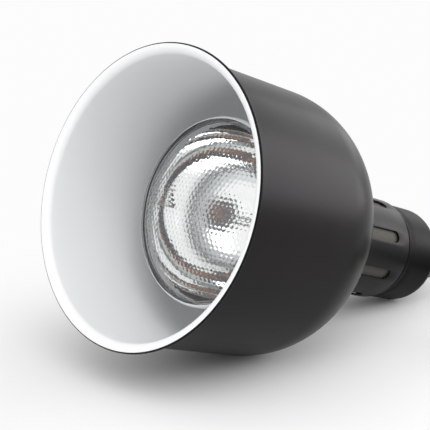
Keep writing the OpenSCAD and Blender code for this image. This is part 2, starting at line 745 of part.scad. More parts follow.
module cord_tail() {
    color("#161616") on_table() translate([0, 0, tail_z0]) cylinder(r = cord_r, h = relief_z1 - tail_z0);
}

// Cord: free stretch, coil, tie and the last stretch into the plug
module cord() {
    lean = [cos(tilt), 0, -sin(tilt)];
    color("#161616") swept(concat([cord_exit + 0.02 * lean], cord_route), cord_r, 8, lean, [0, -1, 0]);
}

module cord_coil() {
    color("#161616") swept(coil_path, cord_r, 6, [0, -1, 0], [-1, 0, 0]);
}

module cord_end() {
    color("#161616") swept(end_path, cord_r, 8, [-1, 0, 0], [-1, 0, 0]);
}

module coil_tie() {
    band_t = 0.7;
    band_w = 9;
    low_r = coil_r(2.5) - cord_r - 4.2;
    high_r = coil_r(0.5) + cord_r + 0.4;
    high_z = coil_z + coil_pitch + cord_r + 0.2;
    color("#222222") translate([coil_x, coil_y + band_w / 2, 0]) rotate([90, 0, 0])
        linear_extrude(height = band_w) difference() {
            translate([-high_r - band_t, 0]) square([high_r - low_r + 2 * band_t, high_z + band_t]);
            translate([-high_r, band_t]) square([high_r - low_r, high_z - band_t]);
        }
}

// Plug: moulded two-pin plug with side earth clips, lying with its pins level
module at_plug() {
    translate(plug_entry) rotate([0, -90, 0]) children();
}

pin_gap = 19;
pin_r = 2.4;
pin_root_r = 1.9;
pin_l = 19;
clip_w = 6;

module plug_body() {
    r = plug_d / 2;
    color("#1a1a1b") at_plug() difference() {
        rotate_extrude() polygon(concat(
            [[0, 0], [cord_r + 1, 0], [cord_r + 2.8, 19], [9.5, 21]],
            arc(9.5, 26, 5, -90, 0, 6),
            [[15.2, 36], [16, 41]],
            [[r - 1, 47], [r, 48.5], [r, plug_face_z - 1], [r - 1, plug_face_z], [0, plug_face_z]]
        ));
        for (s = [-1, 1]) {
            translate([0, s * pin_gap / 2, plug_face_z - 9])
                cylinder(r = pin_root_r + 0.05, h = 10, $fn = 48);
            translate([s > 0 ? r - 2 : -r - 1, -clip_w / 2 - 0.6, plug_face_z - 15])
                cube([3, clip_w + 1.2, 16]);
        }
    }
}

module plug_pins() {
    color("#c9c9c9") at_plug() for (s = [-1, 1]) translate([0, s * pin_gap / 2, 0]) rotate_extrude($fn = 48)
        polygon([
            [0, plug_face_z - 8.8], [pin_root_r, plug_face_z - 8.8], [pin_root_r, plug_face_z],
            [pin_r, plug_face_z], [pin_r, plug_face_z + pin_l - 1.2],
            [pin_r - 1, plug_face_z + pin_l], [0, plug_face_z + pin_l]
        ]);
}

module plug_earth_clips() {
    r = plug_d / 2;
    color("#c9c9c9") at_plug() for (s = [-1, 1])
        translate([s > 0 ? r - 2 + seat_gap : -r + 1 + seat_gap, -clip_w / 2, plug_face_z - 14.8])
            cube([0.8, clip_w, 14.4]);
}

// Least gap of the coil to itself, the cord's length, and where the lamp and the cord lie
echo(least_gap = least_gap, cord_length = cord_length, plug_entry = plug_entry);
echo(tilt = tilt, rim_x = rim_x, rim_z = rim_z, cord_exit = cord_exit, coil_x = coil_x);

shade();
inner_tube();
tube_rivets();
vented_sleeve();
cap();
cap_screws();
holder_bracket();
bracket_screws();
lampholder_body();
lampholder_shell();
centre_contact();
contact_rivets();
wire_terminals();
terminal_screws();
holder_screws();
earth_tag();
earth_screw();
live_wire();
neutral_wire();
earth_wire();
bulb_lens();
bulb_reflector();
bulb_filament();
bulb_lead_wires();
bulb_ferrules();
bulb_feed_wires();
bulb_skirt();
bulb_screw_shell();
bulb_insulator();
bulb_tip();
gland_body();
gland_washer();
gland_locknut();
gland_seal();
gland_nut();
strain_relief();
cord_tail();
cord();
cord_coil();
cord_end();
coil_tie();
plug_body();
plug_pins();
plug_earth_clips();
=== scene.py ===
from math import acos, asin, atan2, cos, degrees, hypot, pi, radians, sin, sqrt

import bmesh
import bpy
from mathutils import Matrix, Vector


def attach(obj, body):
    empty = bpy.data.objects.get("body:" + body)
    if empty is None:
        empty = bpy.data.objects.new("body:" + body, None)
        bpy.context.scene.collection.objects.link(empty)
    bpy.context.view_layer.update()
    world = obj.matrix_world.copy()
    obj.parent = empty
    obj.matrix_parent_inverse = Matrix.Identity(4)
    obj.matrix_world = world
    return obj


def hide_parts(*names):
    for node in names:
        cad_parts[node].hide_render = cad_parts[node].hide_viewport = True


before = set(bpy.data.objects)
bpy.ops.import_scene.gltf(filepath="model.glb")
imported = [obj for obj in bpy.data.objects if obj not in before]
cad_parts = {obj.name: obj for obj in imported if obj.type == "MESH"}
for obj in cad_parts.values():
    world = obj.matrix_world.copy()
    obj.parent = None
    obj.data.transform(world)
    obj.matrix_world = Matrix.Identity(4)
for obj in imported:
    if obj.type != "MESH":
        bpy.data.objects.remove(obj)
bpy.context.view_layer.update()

scene = bpy.context.scene
scene.view_settings.view_transform = "Standard"

# Camera
# A long lens a little above the lamp, looking into the mouth of the shade from halfway to its side.
# Its place and length come from fitting the rim, the neck and the edge of the bulb.
eye = Vector((-0.56920, -0.49760, 0.25292))
look = Vector((0.68831, 0.69070, -0.22172))
camera_data = bpy.data.cameras.new("camera")
camera_data.sensor_width = 36
camera_data.lens = 96.28
camera_data.clip_start = 0.01


def new_object(name, data):
    """A new object in the scene."""
    thing = bpy.data.objects.new(name, data)
    scene.collection.objects.link(thing)
    return thing


camera = new_object("camera", camera_data)
camera.location = eye
camera.rotation_euler = look.to_track_quat("-Z", "Y").to_euler()
scene.camera = camera

# Cord
# Round three-core heat-resistant cord, 7 mm across and 1.8 m long, with a black rubber sheath. It leaves
# the cord grip, drops to the table, and the rest is put away in a coil of two layers beside the neck.
cord_d = 0.007
cord_exit = Vector((0.180515, 0, 0.0121531))
cord_route = [
    (0.186, 0, 0.011), (0.192, 0, 0.0091), (0.1985, 0, 0.0072), (0.205, -0.0004, 0.0056),
    (0.2115, -0.0016, 0.0047), (0.218, -0.0042, 0.0044), (0.2245, -0.0086, 0.0044),
    (0.2305, -0.0148, 0.0044), (0.2355, -0.0224, 0.0044), (0.2394, -0.031, 0.0044),
    (0.2422, -0.0405, 0.0044), (0.244, -0.0505, 0.0044), (0.2448, -0.061, 0.0044),
    (0.245, -0.072, 0.0044), (0.245, -0.077, 0.0044),
]
coil_turns = 6.25
coil_pitch = cord_d + 0.0006
coil_inner = 0.0298
coil_steps = 48
turn_back = 0.05
climb_turns = 0.5


def ease(u):
    """A smooth step from 0 to 1."""
    u = min(max(u, 0), 1)
    return u * u * (3 - 2 * u)


def coil_radius(turn):
    """The coil winds inwards through its lower layer, turns back, and winds outwards on top."""
    return coil_inner + coil_pitch * (sqrt((turn - coil_turns / 2) ** 2 + turn_back ** 2) - turn_back)


coil_centre = Vector((cord_route[-1][0] - coil_radius(0), cord_route[-1][1] - cord_d, cord_route[-1][2]))


def coil_point(turn):
    angle = -2 * pi * turn
    climb = ease((turn - coil_turns / 2 + climb_turns / 2) / climb_turns)
    offset = Vector((cos(angle), sin(angle), 0)) * coil_radius(turn)
    return coil_centre + offset + Vector((0, 0, coil_pitch * climb))


def flowing(points, steps):
    """Points along the smooth curve that runs through the given ones."""
    line = []
    for i in range(len(points) - 1):
        a, b = points[i], points[i + 1]
        before = points[i - 1] if i else a * 2 - b
        after = points[i + 2] if i + 2 < len(points) else b * 2 - a
        for k in range(steps):
            u = k / steps
            line.append(0.5 * (2 * a + (b - before) * u + (2 * before - 5 * a + 4 * b - after) * u ** 2
                               + (3 * a - before - 3 * b + after) * u ** 3))
    return line + [points[-1]]


def round_wire(name, points, radius, sides=5):
    """A curve object of one open line with a round section, its thickness held by the points."""
    curve = bpy.data.curves.new(name, "CURVE")
    curve.dimensions = "3D"
    curve.bevel_depth = 1
    curve.bevel_resolution = sides
    curve.use_fill_caps = True
    spline = curve.splines.new("POLY")
    spline.points.add(len(points) - 1)
    for point, place in zip(spline.points, points):
        point.co = (*place, 1)
        point.radius = radius
    spline.use_smooth = True
    return new_object(name, curve)


cord_line = flowing([cord_exit] + [Vector(p) for p in cord_route], 4)
coil_line = [coil_point(i / coil_steps) for i in range(int(coil_turns * coil_steps) + 1)]
plug_height = 0.0185
end_run = 0.048
end_steps = 24
rise_from = 0.1
rise_share = 0.8
leaves = coil_line[-1] - Vector((cord_d, 0, 0))
end_line = [
    leaves + Vector((-end_run * u, 0, (plug_height - leaves.z) * ease((u - rise_from) / rise_share)))
    for u in (i / end_steps for i in range(end_steps + 1))
]
plug_entry = end_line[-1]
supply_cord = round_wire("supply_cord", cord_line + coil_line + end_line, cord_d / 2)


def stand_in(piece, body, slot, *nodes):
    """Hangs a piece under its body's empty and hides the CAD nodes it stands for. The slot is not used."""
    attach(piece, body)
    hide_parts(*nodes)


stand_in(supply_cord, "lamp", "cord_sheath", "cord", "cord_coil", "cord_end")


def feed(tree, node, inputs):
    """Gives a node's inputs, by name or number, their values, or the sockets that are linked to them."""
    for name, value in inputs.items():
        if isinstance(value, bpy.types.NodeSocket):
            tree.links.new(value, node.inputs[name])
        else:
            node.inputs[name].default_value = value


def add_node(tree, kind, inputs, **settings):
    """A new shader node with its settings, such as an operation, and its inputs."""
    node = tree.nodes.new("ShaderNode" + kind)
    for setting, value in settings.items():
        setattr(node, setting, value)
    feed(tree, node, inputs)
    return node


def blank_material(name):
    """A new node material: its tree, its Principled shader and its Object coordinates."""
    material = bpy.data.materials.new(name)
    material.use_nodes = True
    tree = material.node_tree
    place = add_node(tree, "TexCoord", {}).outputs["Object"]
    return material, tree, tree.nodes["Principled BSDF"], place


def new_group(name, inputs, outputs):
    """A shader node group: the sockets of its number inputs (name, default), and its empty output node."""
    group = bpy.data.node_groups.new(name, "ShaderNodeTree")
    group.interface.new_socket("Vector", in_out="INPUT", socket_type="NodeSocketVector")
    for label, value in inputs:
        socket = group.interface.new_socket(label, in_out="INPUT", socket_type="NodeSocketFloat")
        socket.default_value = value
    for label in outputs:
        group.interface.new_socket(label, in_out="OUTPUT", socket_type="NodeSocketFloat")
    return group, group.nodes.new("NodeGroupInput").outputs, group.nodes.new("NodeGroupOutput")


# Fine grain: the tooth of a matt paint, a moulded skin or a sheath, with slow patches of more or less gloss
grain_group, grain_in, grain_out = new_group(
    "surface_grain",
    [("Grain Scale", 900), ("Patch Scale", 30), ("Low", 0.4), ("High", 0.5)],
    ["Height", "Roughness", "Patch"],
)
fine = add_node(grain_group, "TexNoise", {
    "Vector": grain_in["Vector"], "Scale": grain_in["Grain Scale"], "Detail": 3})
patch = add_node(grain_group, "TexNoise", {
    "Vector": grain_in["Vector"], "Scale": grain_in["Patch Scale"], "Detail": 4, "Roughness": 0.6})
spread = add_node(grain_group, "MapRange", {
    "Value": patch.outputs["Fac"], "From Min": 0.3, "From Max": 0.7,
    "To Min": grain_in["Low"], "To Max": grain_in["High"]})
feed(grain_group, grain_out, {
    "Height": fine.outputs["Fac"], "Roughness": spread.outputs["Result"], "Patch": patch.outputs["Fac"]})


def colour_bands(tree, mask, bands):
    """A colour ramp over a mask, from (position, colour) pairs."""
    ramp = add_node(tree, "ValToRGB", {"Fac": mask})
    elements = ramp.color_ramp.elements
    while len(elements) < len(bands):
        elements.new(1)
    for element, (position, colour) in zip(elements, bands):
        element.position = position
        element.color = (*colour, 1)
    return ramp.outputs["Color"]


def raise_surface(tree, shader, height, strength, distance):
    """Bump from a height, in metres of relief, on top of any bump that is there."""
    bump = add_node(tree, "Bump", {"Strength": strength, "Distance": distance, "Height": height})
    for earlier in shader.inputs["Normal"].links:
        tree.links.new(earlier.from_socket, bump.inputs["Normal"])
    tree.links.new(bump.outputs["Normal"], shader.inputs["Normal"])


def grained(name, low, high, rough, grain=900, patches=30, relief=0.00004, **sockets):
    """A plain finish with grain: two close colours, a range of roughness and a little relief."""
    material, tree, shader, place = blank_material(name)
    use = add_node(tree, "Group", {
        "Vector": place, "Grain Scale": grain, "Patch Scale": patches, "Low": rough[0], "High": rough[1]},
        node_tree=grain_group)
    colour = colour_bands(tree, use.outputs["Patch"], [(0.35, low), (0.65, high)])
    feed(tree, shader, {"Base Color": colour, "Roughness": use.outputs["Roughness"]})
    raise_surface(tree, shader, use.outputs["Height"], 0.5, relief)
    feed(tree, shader, {socket.replace("_", " "): value for socket, value in sockets.items()})
    return material


sheath_rubber = grained("sheath_rubber", (0.018, 0.018, 0.019), (0.03, 0.03, 0.031), (0.42, 0.56),
                        grain=1600, patches=60, relief=0.00003)
supply_cord.data.materials.append(sheath_rubber)

# Table and light
# A plain pale floor in a white room, with a soft key light high up behind the camera, a bright panel at
# the right and a dimmer one at the back. A card behind the camera glows dark with a copper ring and is
# seen only in mirrors: it paints the reflection of what stands behind the camera into the bulb.
white_level = 0.975
white_colour = (white_level, white_level, white_level, 1)
fade_from = 0.08
fade_to = 0.34
floor_half = 12


def mesh_object(name, bm):
    """Makes a bmesh into an object in the scene."""
    mesh = bpy.data.meshes.new(name)
    bm.to_mesh(mesh)
    bm.free()
    return new_object(name, mesh)


def stage_sheet(name, bm):
    """Makes a bmesh into a sheet of the staging, which isn't part of the lamp."""
    sheet = mesh_object(name, bm)
    return sheet


def seen_rays(tree):
    """A mask of the rays that show the background: straight to the camera, mirrored or through glass."""
    rays = add_node(tree, "LightPath", {}).outputs
    mask = rays["Is Camera Ray"]
    for kind in ("Is Glossy Ray", "Is Transmission Ray"):
        mask = add_node(tree, "Math", {0: mask, 1: rays[kind]}, operation="MAXIMUM").outputs[0]
    return mask


def show_white(tree, white_node, share, plain, output):
    """Mixes a plain shader with white by a share, and makes that the tree's output."""
    white = add_node(tree, white_node, {"Color": white_colour}).outputs[0]
    mix = add_node(tree, "MixShader", {"Fac": share, 1: plain.outputs[0], 2: white})
    feed(tree, tree.nodes[output], {"Surface": mix.outputs[0]})


bm = bmesh.new()
bmesh.ops.create_grid(bm, x_segments=1, y_segments=1, size=floor_half)
floor = stage_sheet("floor", bm)
floor_material, tree, shader, place = blank_material("floor_paper")
feed(tree, shader, {"Base Color": (0.79, 0.79, 0.79, 1), "Roughness": 0.6, "Specular IOR Level": 0.2})
far = add_node(tree, "VectorMath", {0: place}, operation="LENGTH")
fade = add_node(tree, "MapRange", {
    "Value": far.outputs["Value"], "From Min": fade_from, "From Max": fade_to},
    interpolation_type="SMOOTHSTEP")
faded = add_node(tree, "Math", {0: fade.outputs["Result"], 1: seen_rays(tree)}, operation="MULTIPLY")
show_white(tree, "Emission", faded.outputs[0], shader, "Material Output")
floor.data.materials.append(floor_material)

room = bpy.data.worlds.new("room")
scene.world = room
room.use_nodes = True
tree = room.node_tree
ambient = tree.nodes["Background"]
feed(tree, ambient, {"Color": (1, 1, 1, 1), "Strength": 0.83})
show_white(tree, "Background", seen_rays(tree), ambient, "World Output")


def soft_light(name, place, aim, size, watts, mirrored=True):
    """A soft panel of light, aimed at a point; not mirrored, it lights the lamp but doesn't glare."""
    data = bpy.data.lights.new(name, "AREA")
    data.shape = "RECTANGLE"
    data.size, data.size_y = size
    data.energy = watts
    light = new_object(name, data)
    light.location = place
    light.rotation_euler = (Vector(aim) - Vector(place)).to_track_quat("-Z", "Y").to_euler()
    light.visible_glossy = mirrored
    light.visible_camera = False


soft_light("key", (-0.78, -0.85, 1.42), aim=(-0.1, 0, 0.1), size=(1.4, 1.4), watts=14.5, mirrored=False)
soft_light("side_panel", (1.26, -0.98, 0.6), aim=(0, 0, 0.6), size=(1.5, 1.05), watts=22)
soft_light("rear_panel", (1.59, 0.12, 0.63), aim=(0, 0, 0.63), size=(0.8, 0.64), watts=2.5)

card_r = 0.54
card_away = 1.1
card_left = 0.1
card_aim = Vector((-0.045, 0, 0.088))
card_dark = (0.05, 0.05, 0.055)
card_copper = (0.30, 0.15, 0.10)
card_edge = (0.09, 0.092, 0.10)
bm = bmesh.new()
bmesh.ops.create_circle(bm, cap_ends=True, segments=48, radius=card_r)
card = stage_sheet("card", bm)
card_aside = look.cross(Vector((0, 0, 1))).normalized() * -card_left
card.location = card_aim - look.normalized() * card_away + card_aside
card.rotation_euler = look.to_track_quat("Z", "Y").to_euler()
card.visible_camera = False
card.visible_diffuse = False
card.visible_shadow = False
# Its glow, dark in the middle, a copper ring, then dark and greyer to the edge, is a painted reflection.
card_material, tree, shader, place = blank_material("mirror_reflection_glow")
tree.nodes.remove(shader)
spot = add_node(tree, "VectorMath", {0: place}, operation="LENGTH")
scaled = add_node(tree, "Math", {0: spot.outputs["Value"], 1: card_r}, operation="DIVIDE")
bands = [(0, card_dark), (0.06, card_dark), (0.09, card_copper), (0.24, card_copper), (0.30, card_dark),
         (1, card_edge)]
glow = add_node(tree, "Emission", {"Color": colour_bands(tree, scaled.outputs[0], bands)})
feed(tree, tree.nodes["Material Output"], {"Surface": glow.outputs["Emission"]})
card.data.materials.append(card_material)

# Shade
# One spun sheet-metal bell, 174 mm across and open at the front, with a flared and rolled rim. It is
# stoved matt charcoal outside and white inside. Its collar sits in the inner tube.
tilt = radians(18.0161)
rim_centre = Vector((-0.134454, 0, 0.114591))
lamp_place = Matrix.Translation(rim_centre) @ Matrix.Rotation(pi / 2 + tilt, 4, "Y")
shade_r = 0.0872
shade_wall = 0.0012
shade_straight = 0.093
shoulder_r = 0.0592
shoulder_c = shade_r - shoulder_r
flare_r = 0.0036
hem_r = 0.0011
lip_r = shade_r + flare_r
hem_c = lip_r + 0.0006
flare_z = flare_r + shade_wall + 0.0001
collar_r = 0.0332
collar_z = 0.1631
white_rim_r = 0.09145
white_rim_z = 0.004
white_end_z = 0.151
hem_groove_r = 0.0905
hem_groove_z = 0.001


def arc(centre, radius, start, end, steps):
    """Points (r, z) on an arc, angles in degrees."""
    return [
        (centre[0] + radius * cos(radians(start + (end - start) * i / steps)),
         centre[1] + radius * sin(radians(start + (end - start) * i / steps)))
        for i in range(steps + 1)
    ]


def line(a, b, steps):
    """Points from a up to, but without, b."""
    return [(a[0] + (b[0] - a[0]) * i / steps, a[1] + (b[1] - a[1]) * i / steps) for i in range(steps)]


def make_piece(name, bm, body, node, slot, *materials, place=lamp_place, sharp=35):
    """Puts a finished bmesh where it belongs, shades it, hangs it under its body and hides its node."""
    bm.transform(place)
    piece = mesh_object(name, bm)
    mesh = piece.data
    mesh.shade_smooth()
    mesh.set_sharp_from_angle(angle=radians(sharp))
    for material in materials:
        mesh.materials.append(material)
    stand_in(piece, body, slot, node)
    return piece


def double(bm):
    """Copies all of a bmesh in place, and gives the copy's vertices."""
    copy = bmesh.ops.duplicate(bm, geom=bm.verts[:] + bm.edges[:] + bm.faces[:])
    return [part for part in copy["geom"] if isinstance(part, bmesh.types.BMVert)]


def spun(profile, steps=192, closed=True):
    """A bmesh turned from (r, z) points about the z axis: an eighth is spun and doubled three times."""
    bm = bmesh.new()
    ring = [bm.verts.new((r, 0, z)) for r, z in profile]
    for a, b in zip(ring, ring[1:] + ring[:1]) if closed else zip(ring, ring[1:]):
        bm.edges.new((a, b))
    bmesh.ops.spin(bm, geom=bm.verts[:] + bm.edges[:], cent=(0, 0, 0), axis=(0, 0, 1),
                   angle=pi / 4, steps=steps // 8, use_merge=False)
    for eighths in (1, 2, 4):
        turn = Matrix.Rotation(eighths * pi / 4, 3, "Z")
        bmesh.ops.rotate(bm, verts=double(bm), cent=(0, 0, 0), matrix=turn)
    bmesh.ops.remove_doubles(bm, verts=bm.verts[:], dist=1e-7)
    bmesh.ops.recalc_face_normals(bm, faces=bm.faces[:])
    return bm


end_angle = degrees(acos((collar_r - shoulder_c) / shoulder_r))
inner_end = degrees(acos((collar_r - shade_wall - shoulder_c) / (shoulder_r - shade_wall)))
bell = (
    arc((hem_c, hem_r), hem_r, -85, 120, 16)
    + arc((lip_r, flare_z), flare_r, 270, 180, 10)[:-1]
    + line((shade_r, flare_z), (shade_r, shade_straight), 10)
    + arc((shoulder_c, shade_straight), shoulder_r, 0, end_angle, 40)
    + [(collar_r, collar_z), (collar_r - shade_wall, collar_z)]
    + arc((shoulder_c, shade_straight), shoulder_r - shade_wall, inner_end, 0, 40)
    + line((shade_r - shade_wall, shade_straight), (shade_r - shade_wall, flare_z), 10)[1:]
    + arc((lip_r, flare_z), flare_r + shade_wall, 180, 270, 12)
    + arc((hem_c, hem_r), hem_r, -90, -85, 1)[:1]
)
bm = spun(bell, steps=224)
for face in bm.faces:
    centre = face.calc_center_median()
    r = hypot(centre.x, centre.y)
    looks_in = face.normal.x * centre.x + face.normal.y * centre.y < -0.05 * r
    looks_out_front = face.normal.z < -0.35 and centre.z < white_rim_z
    behind_hem = r > hem_groove_r and centre.z > hem_groove_z
    white_side = (looks_in and centre.z < white_end_z and not behind_hem) or looks_out_front
    face.material_index = 1 if white_side and r < white_rim_r else 0

# Spun lines: the faint rings that turning leaves under the paint, along the lamp's own axis
rings_group, rings_in, rings_out = new_group("spun_lines", [("Pitch", 700)], ["Height"])
split = add_node(rings_group, "SeparateXYZ", {"Vector": rings_in["Vector"]})
rings = add_node(rings_group, "TexNoise", {
    "W": split.outputs["Z"], "Scale": rings_in["Pitch"], "Detail": 4}, noise_dimensions="1D")
feed(rings_group, rings_out, {"Height": rings.outputs["Fac"]})


def object_place(tree):
    """The Object coordinates of a material that is already made."""
    return tree.nodes["Texture Coordinate"].outputs["Object"]


def turned(name, low, high, rough, pitch=700, ring_relief=0.00004, **finish):
    """A grained finish over spun lines, which follow the lamp's axis from its rim."""
    material = grained(name, low, high, rough, **finish)
    tree = material.node_tree
    along = add_node(tree, "Mapping", {
        "Vector": object_place(tree), "Location": rim_centre, "Rotation": (0, pi / 2 + tilt, 0)},
        vector_type="TEXTURE")
    use = add_node(tree, "Group", {"Vector": along.outputs["Vector"], "Pitch": pitch}, node_tree=rings_group)
    raise_surface(tree, tree.nodes["Principled BSDF"], use.outputs["Height"], 0.35, ring_relief)
    return material


charcoal_paint = turned("charcoal_paint", (0.0086, 0.0079, 0.0084), (0.0098, 0.0091, 0.0096), (0.28, 0.33),
                        grain=700, patches=25, relief=0.00003, Specular_IOR_Level=0.09,
                        Specular_Tint=(1, 0.92, 0.98, 1))
white_enamel = grained("white_enamel", (0.872, 0.884, 0.888), (0.88, 0.892, 0.896), (0.36, 0.44),
                       grain=500, patches=20, relief=0.00002, Specular_IOR_Level=0.25)
make_piece("shade_bell", bm, "lamp", "shade", "charcoal_enamel", charcoal_paint, white_enamel)

# Inner tube
# Bare dull metal tube that slips over the shade's collar, swollen out behind the slots, where its
# surface shows. It carries the cap and the lampholder, and is riveted to the collar.
tube_r = 0.0324
swell_r = 0.0342
tube_wall = 0.0009
seat_gap = 0.0001
tube_in_cap = 0.012
plain_l = 0.0257
cone_l = 0.002
cone_lag = 0.0004


def shoulder_height(r):
    """How far from the rim the shade's shoulder has a radius."""
    return shade_straight + sqrt(shoulder_r ** 2 - (r - shoulder_c) ** 2)


air_gap = 0.0006
sleeve_wall = 0.0012
sleeve_l = 0.0782
cap_gap = 0.001
sleeve_r = swell_r + air_gap + sleeve_wall
sleeve_z0 = shoulder_height(sleeve_r - sleeve_wall) + seat_gap
sleeve_z1 = sleeve_z0 + sleeve_l
cap_z0 = sleeve_z1 + cap_gap
tube_z0 = shoulder_height(swell_r - tube_wall) + seat_gap
tube_z1 = cap_z0 + tube_in_cap
swell_z = tube_z1 - plain_l
bm = spun([(swell_r - tube_wall, tube_z0), (swell_r, tube_z0)]
          + line((swell_r, tube_z0 + 0.001), (swell_r, swell_z), 6)
          + [(swell_r, swell_z), (tube_r, swell_z + cone_l), (tube_r, tube_z1), (tube_r - tube_wall, tube_z1),
             (tube_r - tube_wall, swell_z + cone_l - cone_lag), (swell_r - tube_wall, swell_z - cone_lag)],
          steps=160)
tube_metal = turned("tube_metal", (0.062, 0.056, 0.049), (0.075, 0.068, 0.060), (0.6, 0.7), pitch=900,
                    ring_relief=0.00003, grain=500, patches=60, Metallic=0.25, Specular_IOR_Level=0.2)
make_piece("heat_tube", bm, "lamp", "inner_tube", "tube_metal", tube_metal, sharp=20)


tiny = 1e-6


def bench_pieces(body, *rows, sharp=30):
    """Small pieces in their CAD form: copies with their loose triangles joined and round faces shaded."""
    for name, node, slot, material in rows:
        bm = bmesh.new()
        bm.from_mesh(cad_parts[node].data)
        bmesh.ops.remove_doubles(bm, verts=bm.verts[:], dist=tiny)
        bmesh.ops.dissolve_limit(bm, angle_limit=radians(0.5), verts=bm.verts[:], edges=bm.edges[:])
        make_piece(name, bm, body, node, slot, material, place=Matrix.Identity(4), sharp=sharp)


rivet_metal = grained("rivet_metal", (0.6, 0.6, 0.6), (0.68, 0.68, 0.68), (0.3, 0.42), Metallic=1.0,
                      grain=1800, patches=200)
bench_pieces("lamp", ("collar_rivets", "tube_rivets", "rivet_metal", rivet_metal))

# Slotted sleeve
# Thin black tube that stands clear of the hot inner tube, pierced with eight round-ended slots that
# let the heat out. It is stoved like the shade, and its end next to the cap is rolled to a soft edge.
slots = 8
slot_turn = radians(26.4)
slot_half = 0.0083 / 2
slot_margin = 0.0132
slot_columns = 10
plain_columns = 10
columns = slot_columns + plain_columns
slot_low = sleeve_z0 + slot_margin + slot_half
slot_high = sleeve_z1 - slot_margin - slot_half
slot_edge = asin(slot_half / sleeve_r)
slot_round = 0.00012
end_round = 0.0006
end_set_back = 0.0005
sleeve_end = sleeve_z1 - end_set_back
bm = spun([(sleeve_r, z) for z in (sleeve_z0, slot_low, (slot_low + slot_high) / 2, slot_high, sleeve_end)],
          steps=slots * columns, closed=False)
for vertex in bm.verts:
    number = round(atan2(vertex.co.y, vertex.co.x) / (2 * pi) * slots * columns) % (slots * columns)
    slot, column = divmod(number, columns)
    if column <= slot_columns:
        across = -cos(pi * column / slot_columns)
        angle = asin(slot_half * across / sleeve_r)
        rise = slot_half * sin(pi * column / slot_columns)
    else:
        angle = slot_edge + (2 * pi / slots - 2 * slot_edge) * (column - slot_columns) / plain_columns
        rise = 0
    if abs(vertex.co.z - slot_low) < tiny:
        vertex.co.z -= rise
    if abs(vertex.co.z - slot_high) < tiny:
        vertex.co.z += rise
    angle += slot_turn + 2 * pi * slot / slots
    vertex.co.x = sleeve_r * cos(angle)
    vertex.co.y = sleeve_r * sin(angle)


def in_slot(face):
    """Whether a face of the plain tube lies where a slot is pierced."""
    centre = face.calc_center_median()
    turn = (atan2(centre.y, centre.x) - slot_turn + pi / slots) % (2 * pi / slots)
    along = slot_low - slot_half / 2 < centre.z < slot_high + slot_half / 2
    return along and abs(turn - pi / slots) < slot_edge


bmesh.ops.delete(bm, geom=[face for face in bm.faces if in_slot(face)], context="FACES")
bmesh.ops.recalc_face_normals(bm, faces=bm.faces[:])
bmesh.ops.solidify(bm, geom=bm.faces[:], thickness=sleeve_wall)


def soften(bm, offset, segments, where=lambda edge: True):
    """Rounds the edges of a bmesh that are sharper than 60 degrees and pass a test."""
    edges = [edge for edge in bm.edges
             if len(edge.link_faces) == 2 and edge.calc_face_angle() > radians(60) and where(edge)]
    bmesh.ops.bevel(bm, geom=edges, offset=offset, segments=segments, affect="EDGES",
                    profile=0.5, material=-1)


def on_cap_end(edge):
    """Whether an edge is the outer one of the sleeve's end next to the cap."""
    outer_r = sleeve_r - sleeve_wall / 4
    return all(abs(v.co.z - sleeve_end) < 10 * tiny and v.co.xy.length > outer_r for v in edge.verts)


soften(bm, end_round, 4, where=on_cap_end)
soften(bm, slot_round, 2)
black_enamel = turned("black_enamel", (0.0078, 0.0072, 0.0076), (0.0090, 0.0084, 0.0088), (0.28, 0.33),
                      grain=800, patches=40, relief=0.00003, Specular_IOR_Level=0.09,
                      Specular_Tint=(1, 0.92, 0.98, 1))
make_piece("slotted_sleeve", bm, "lamp", "vented_sleeve", "black_enamel", black_enamel)

# Cap
# Deep-drawn black cap that closes the neck: a beaded mouth, a shallow waist, a straight side and a
# round corner. Three small black grub screws, sunk in their holes, hold it on the inner tube.
cap_fit = 0.00035
cap_side = 0.00165
cap_wall = 0.0016
cap_l = 0.0433
cap_corner = 0.0115
cap_bore_r = tube_r + cap_fit
cap_r = cap_bore_r + cap_side
cap_z1 = cap_z0 + cap_l
corner_c = cap_r - cap_corner
corner_z = cap_z1 - cap_corner
mouth_z = cap_z0 + 0.0004
bead_r = 0.0017
bead_c = cap_r - 0.0015
waist = [(0.00042, 0.0038), (0.0005, 0.005), (0.0004, 0.0062), (0.0001, 0.008), (0.00003, 0.010), (0, 0.012)]
stem_r = 0.010
stem_hole_r = stem_r + 0.0002
bm = spun(
    [(cap_bore_r, mouth_z), (bead_c, mouth_z)]
    + arc((bead_c, cap_z0 + 0.0022), bead_r, -75, 35, 14)
    + [(cap_r - sunk, cap_z0 + up) for sunk, up in waist]
    + line((cap_r, cap_z0 + 0.016), (cap_r, corner_z), 3)
    + arc((corner_c, corner_z), cap_corner, 0, 90, 24)
    + [(stem_hole_r, cap_z1), (stem_hole_r, cap_z1 - cap_wall)]
    + arc((corner_c, corner_z), cap_corner - cap_wall, 90, 0, 20)
    + [(cap_bore_r, cap_z0 + 0.014)])
cap_enamel = turned("cap_enamel", (0.0070, 0.0064, 0.0067), (0.0080, 0.0074, 0.0077), (0.32, 0.38),
                    patches=50, relief=0.00003, Specular_IOR_Level=0.04, Specular_Tint=(1, 0.91, 0.94, 1))
cap_piece = make_piece("neck_cap", bm, "lamp", "cap", "black_enamel", cap_enamel)

grub_r = 0.00145
grub_clear = 0.00005
grub_turn = radians(288)
grub_z = cap_z0 + 0.0048
grub_reach = 0.0012
grub_sunk = 0.0006
grub_round = 0.0002
socket_r = 0.00085
socket_floor = 0.0018
overshoot = 0.002


def grub_rods(radius, start, end, segments=32):
    """A bmesh of three rods where the grub screws sit, each pointing away from the lamp's axis."""
    bm = bmesh.new()
    for i in range(3):
        turn = Matrix.Rotation(grub_turn + 2 * pi * i / 3, 4, "Z")
        place = turn @ Matrix.Translation(((start + end) / 2, 0, grub_z)) @ Matrix.Rotation(pi / 2, 4, "Y")
        bmesh.ops.create_cone(bm, cap_ends=True, segments=segments, radius1=radius, radius2=radius,
                              depth=end - start, matrix=place)
    return bm


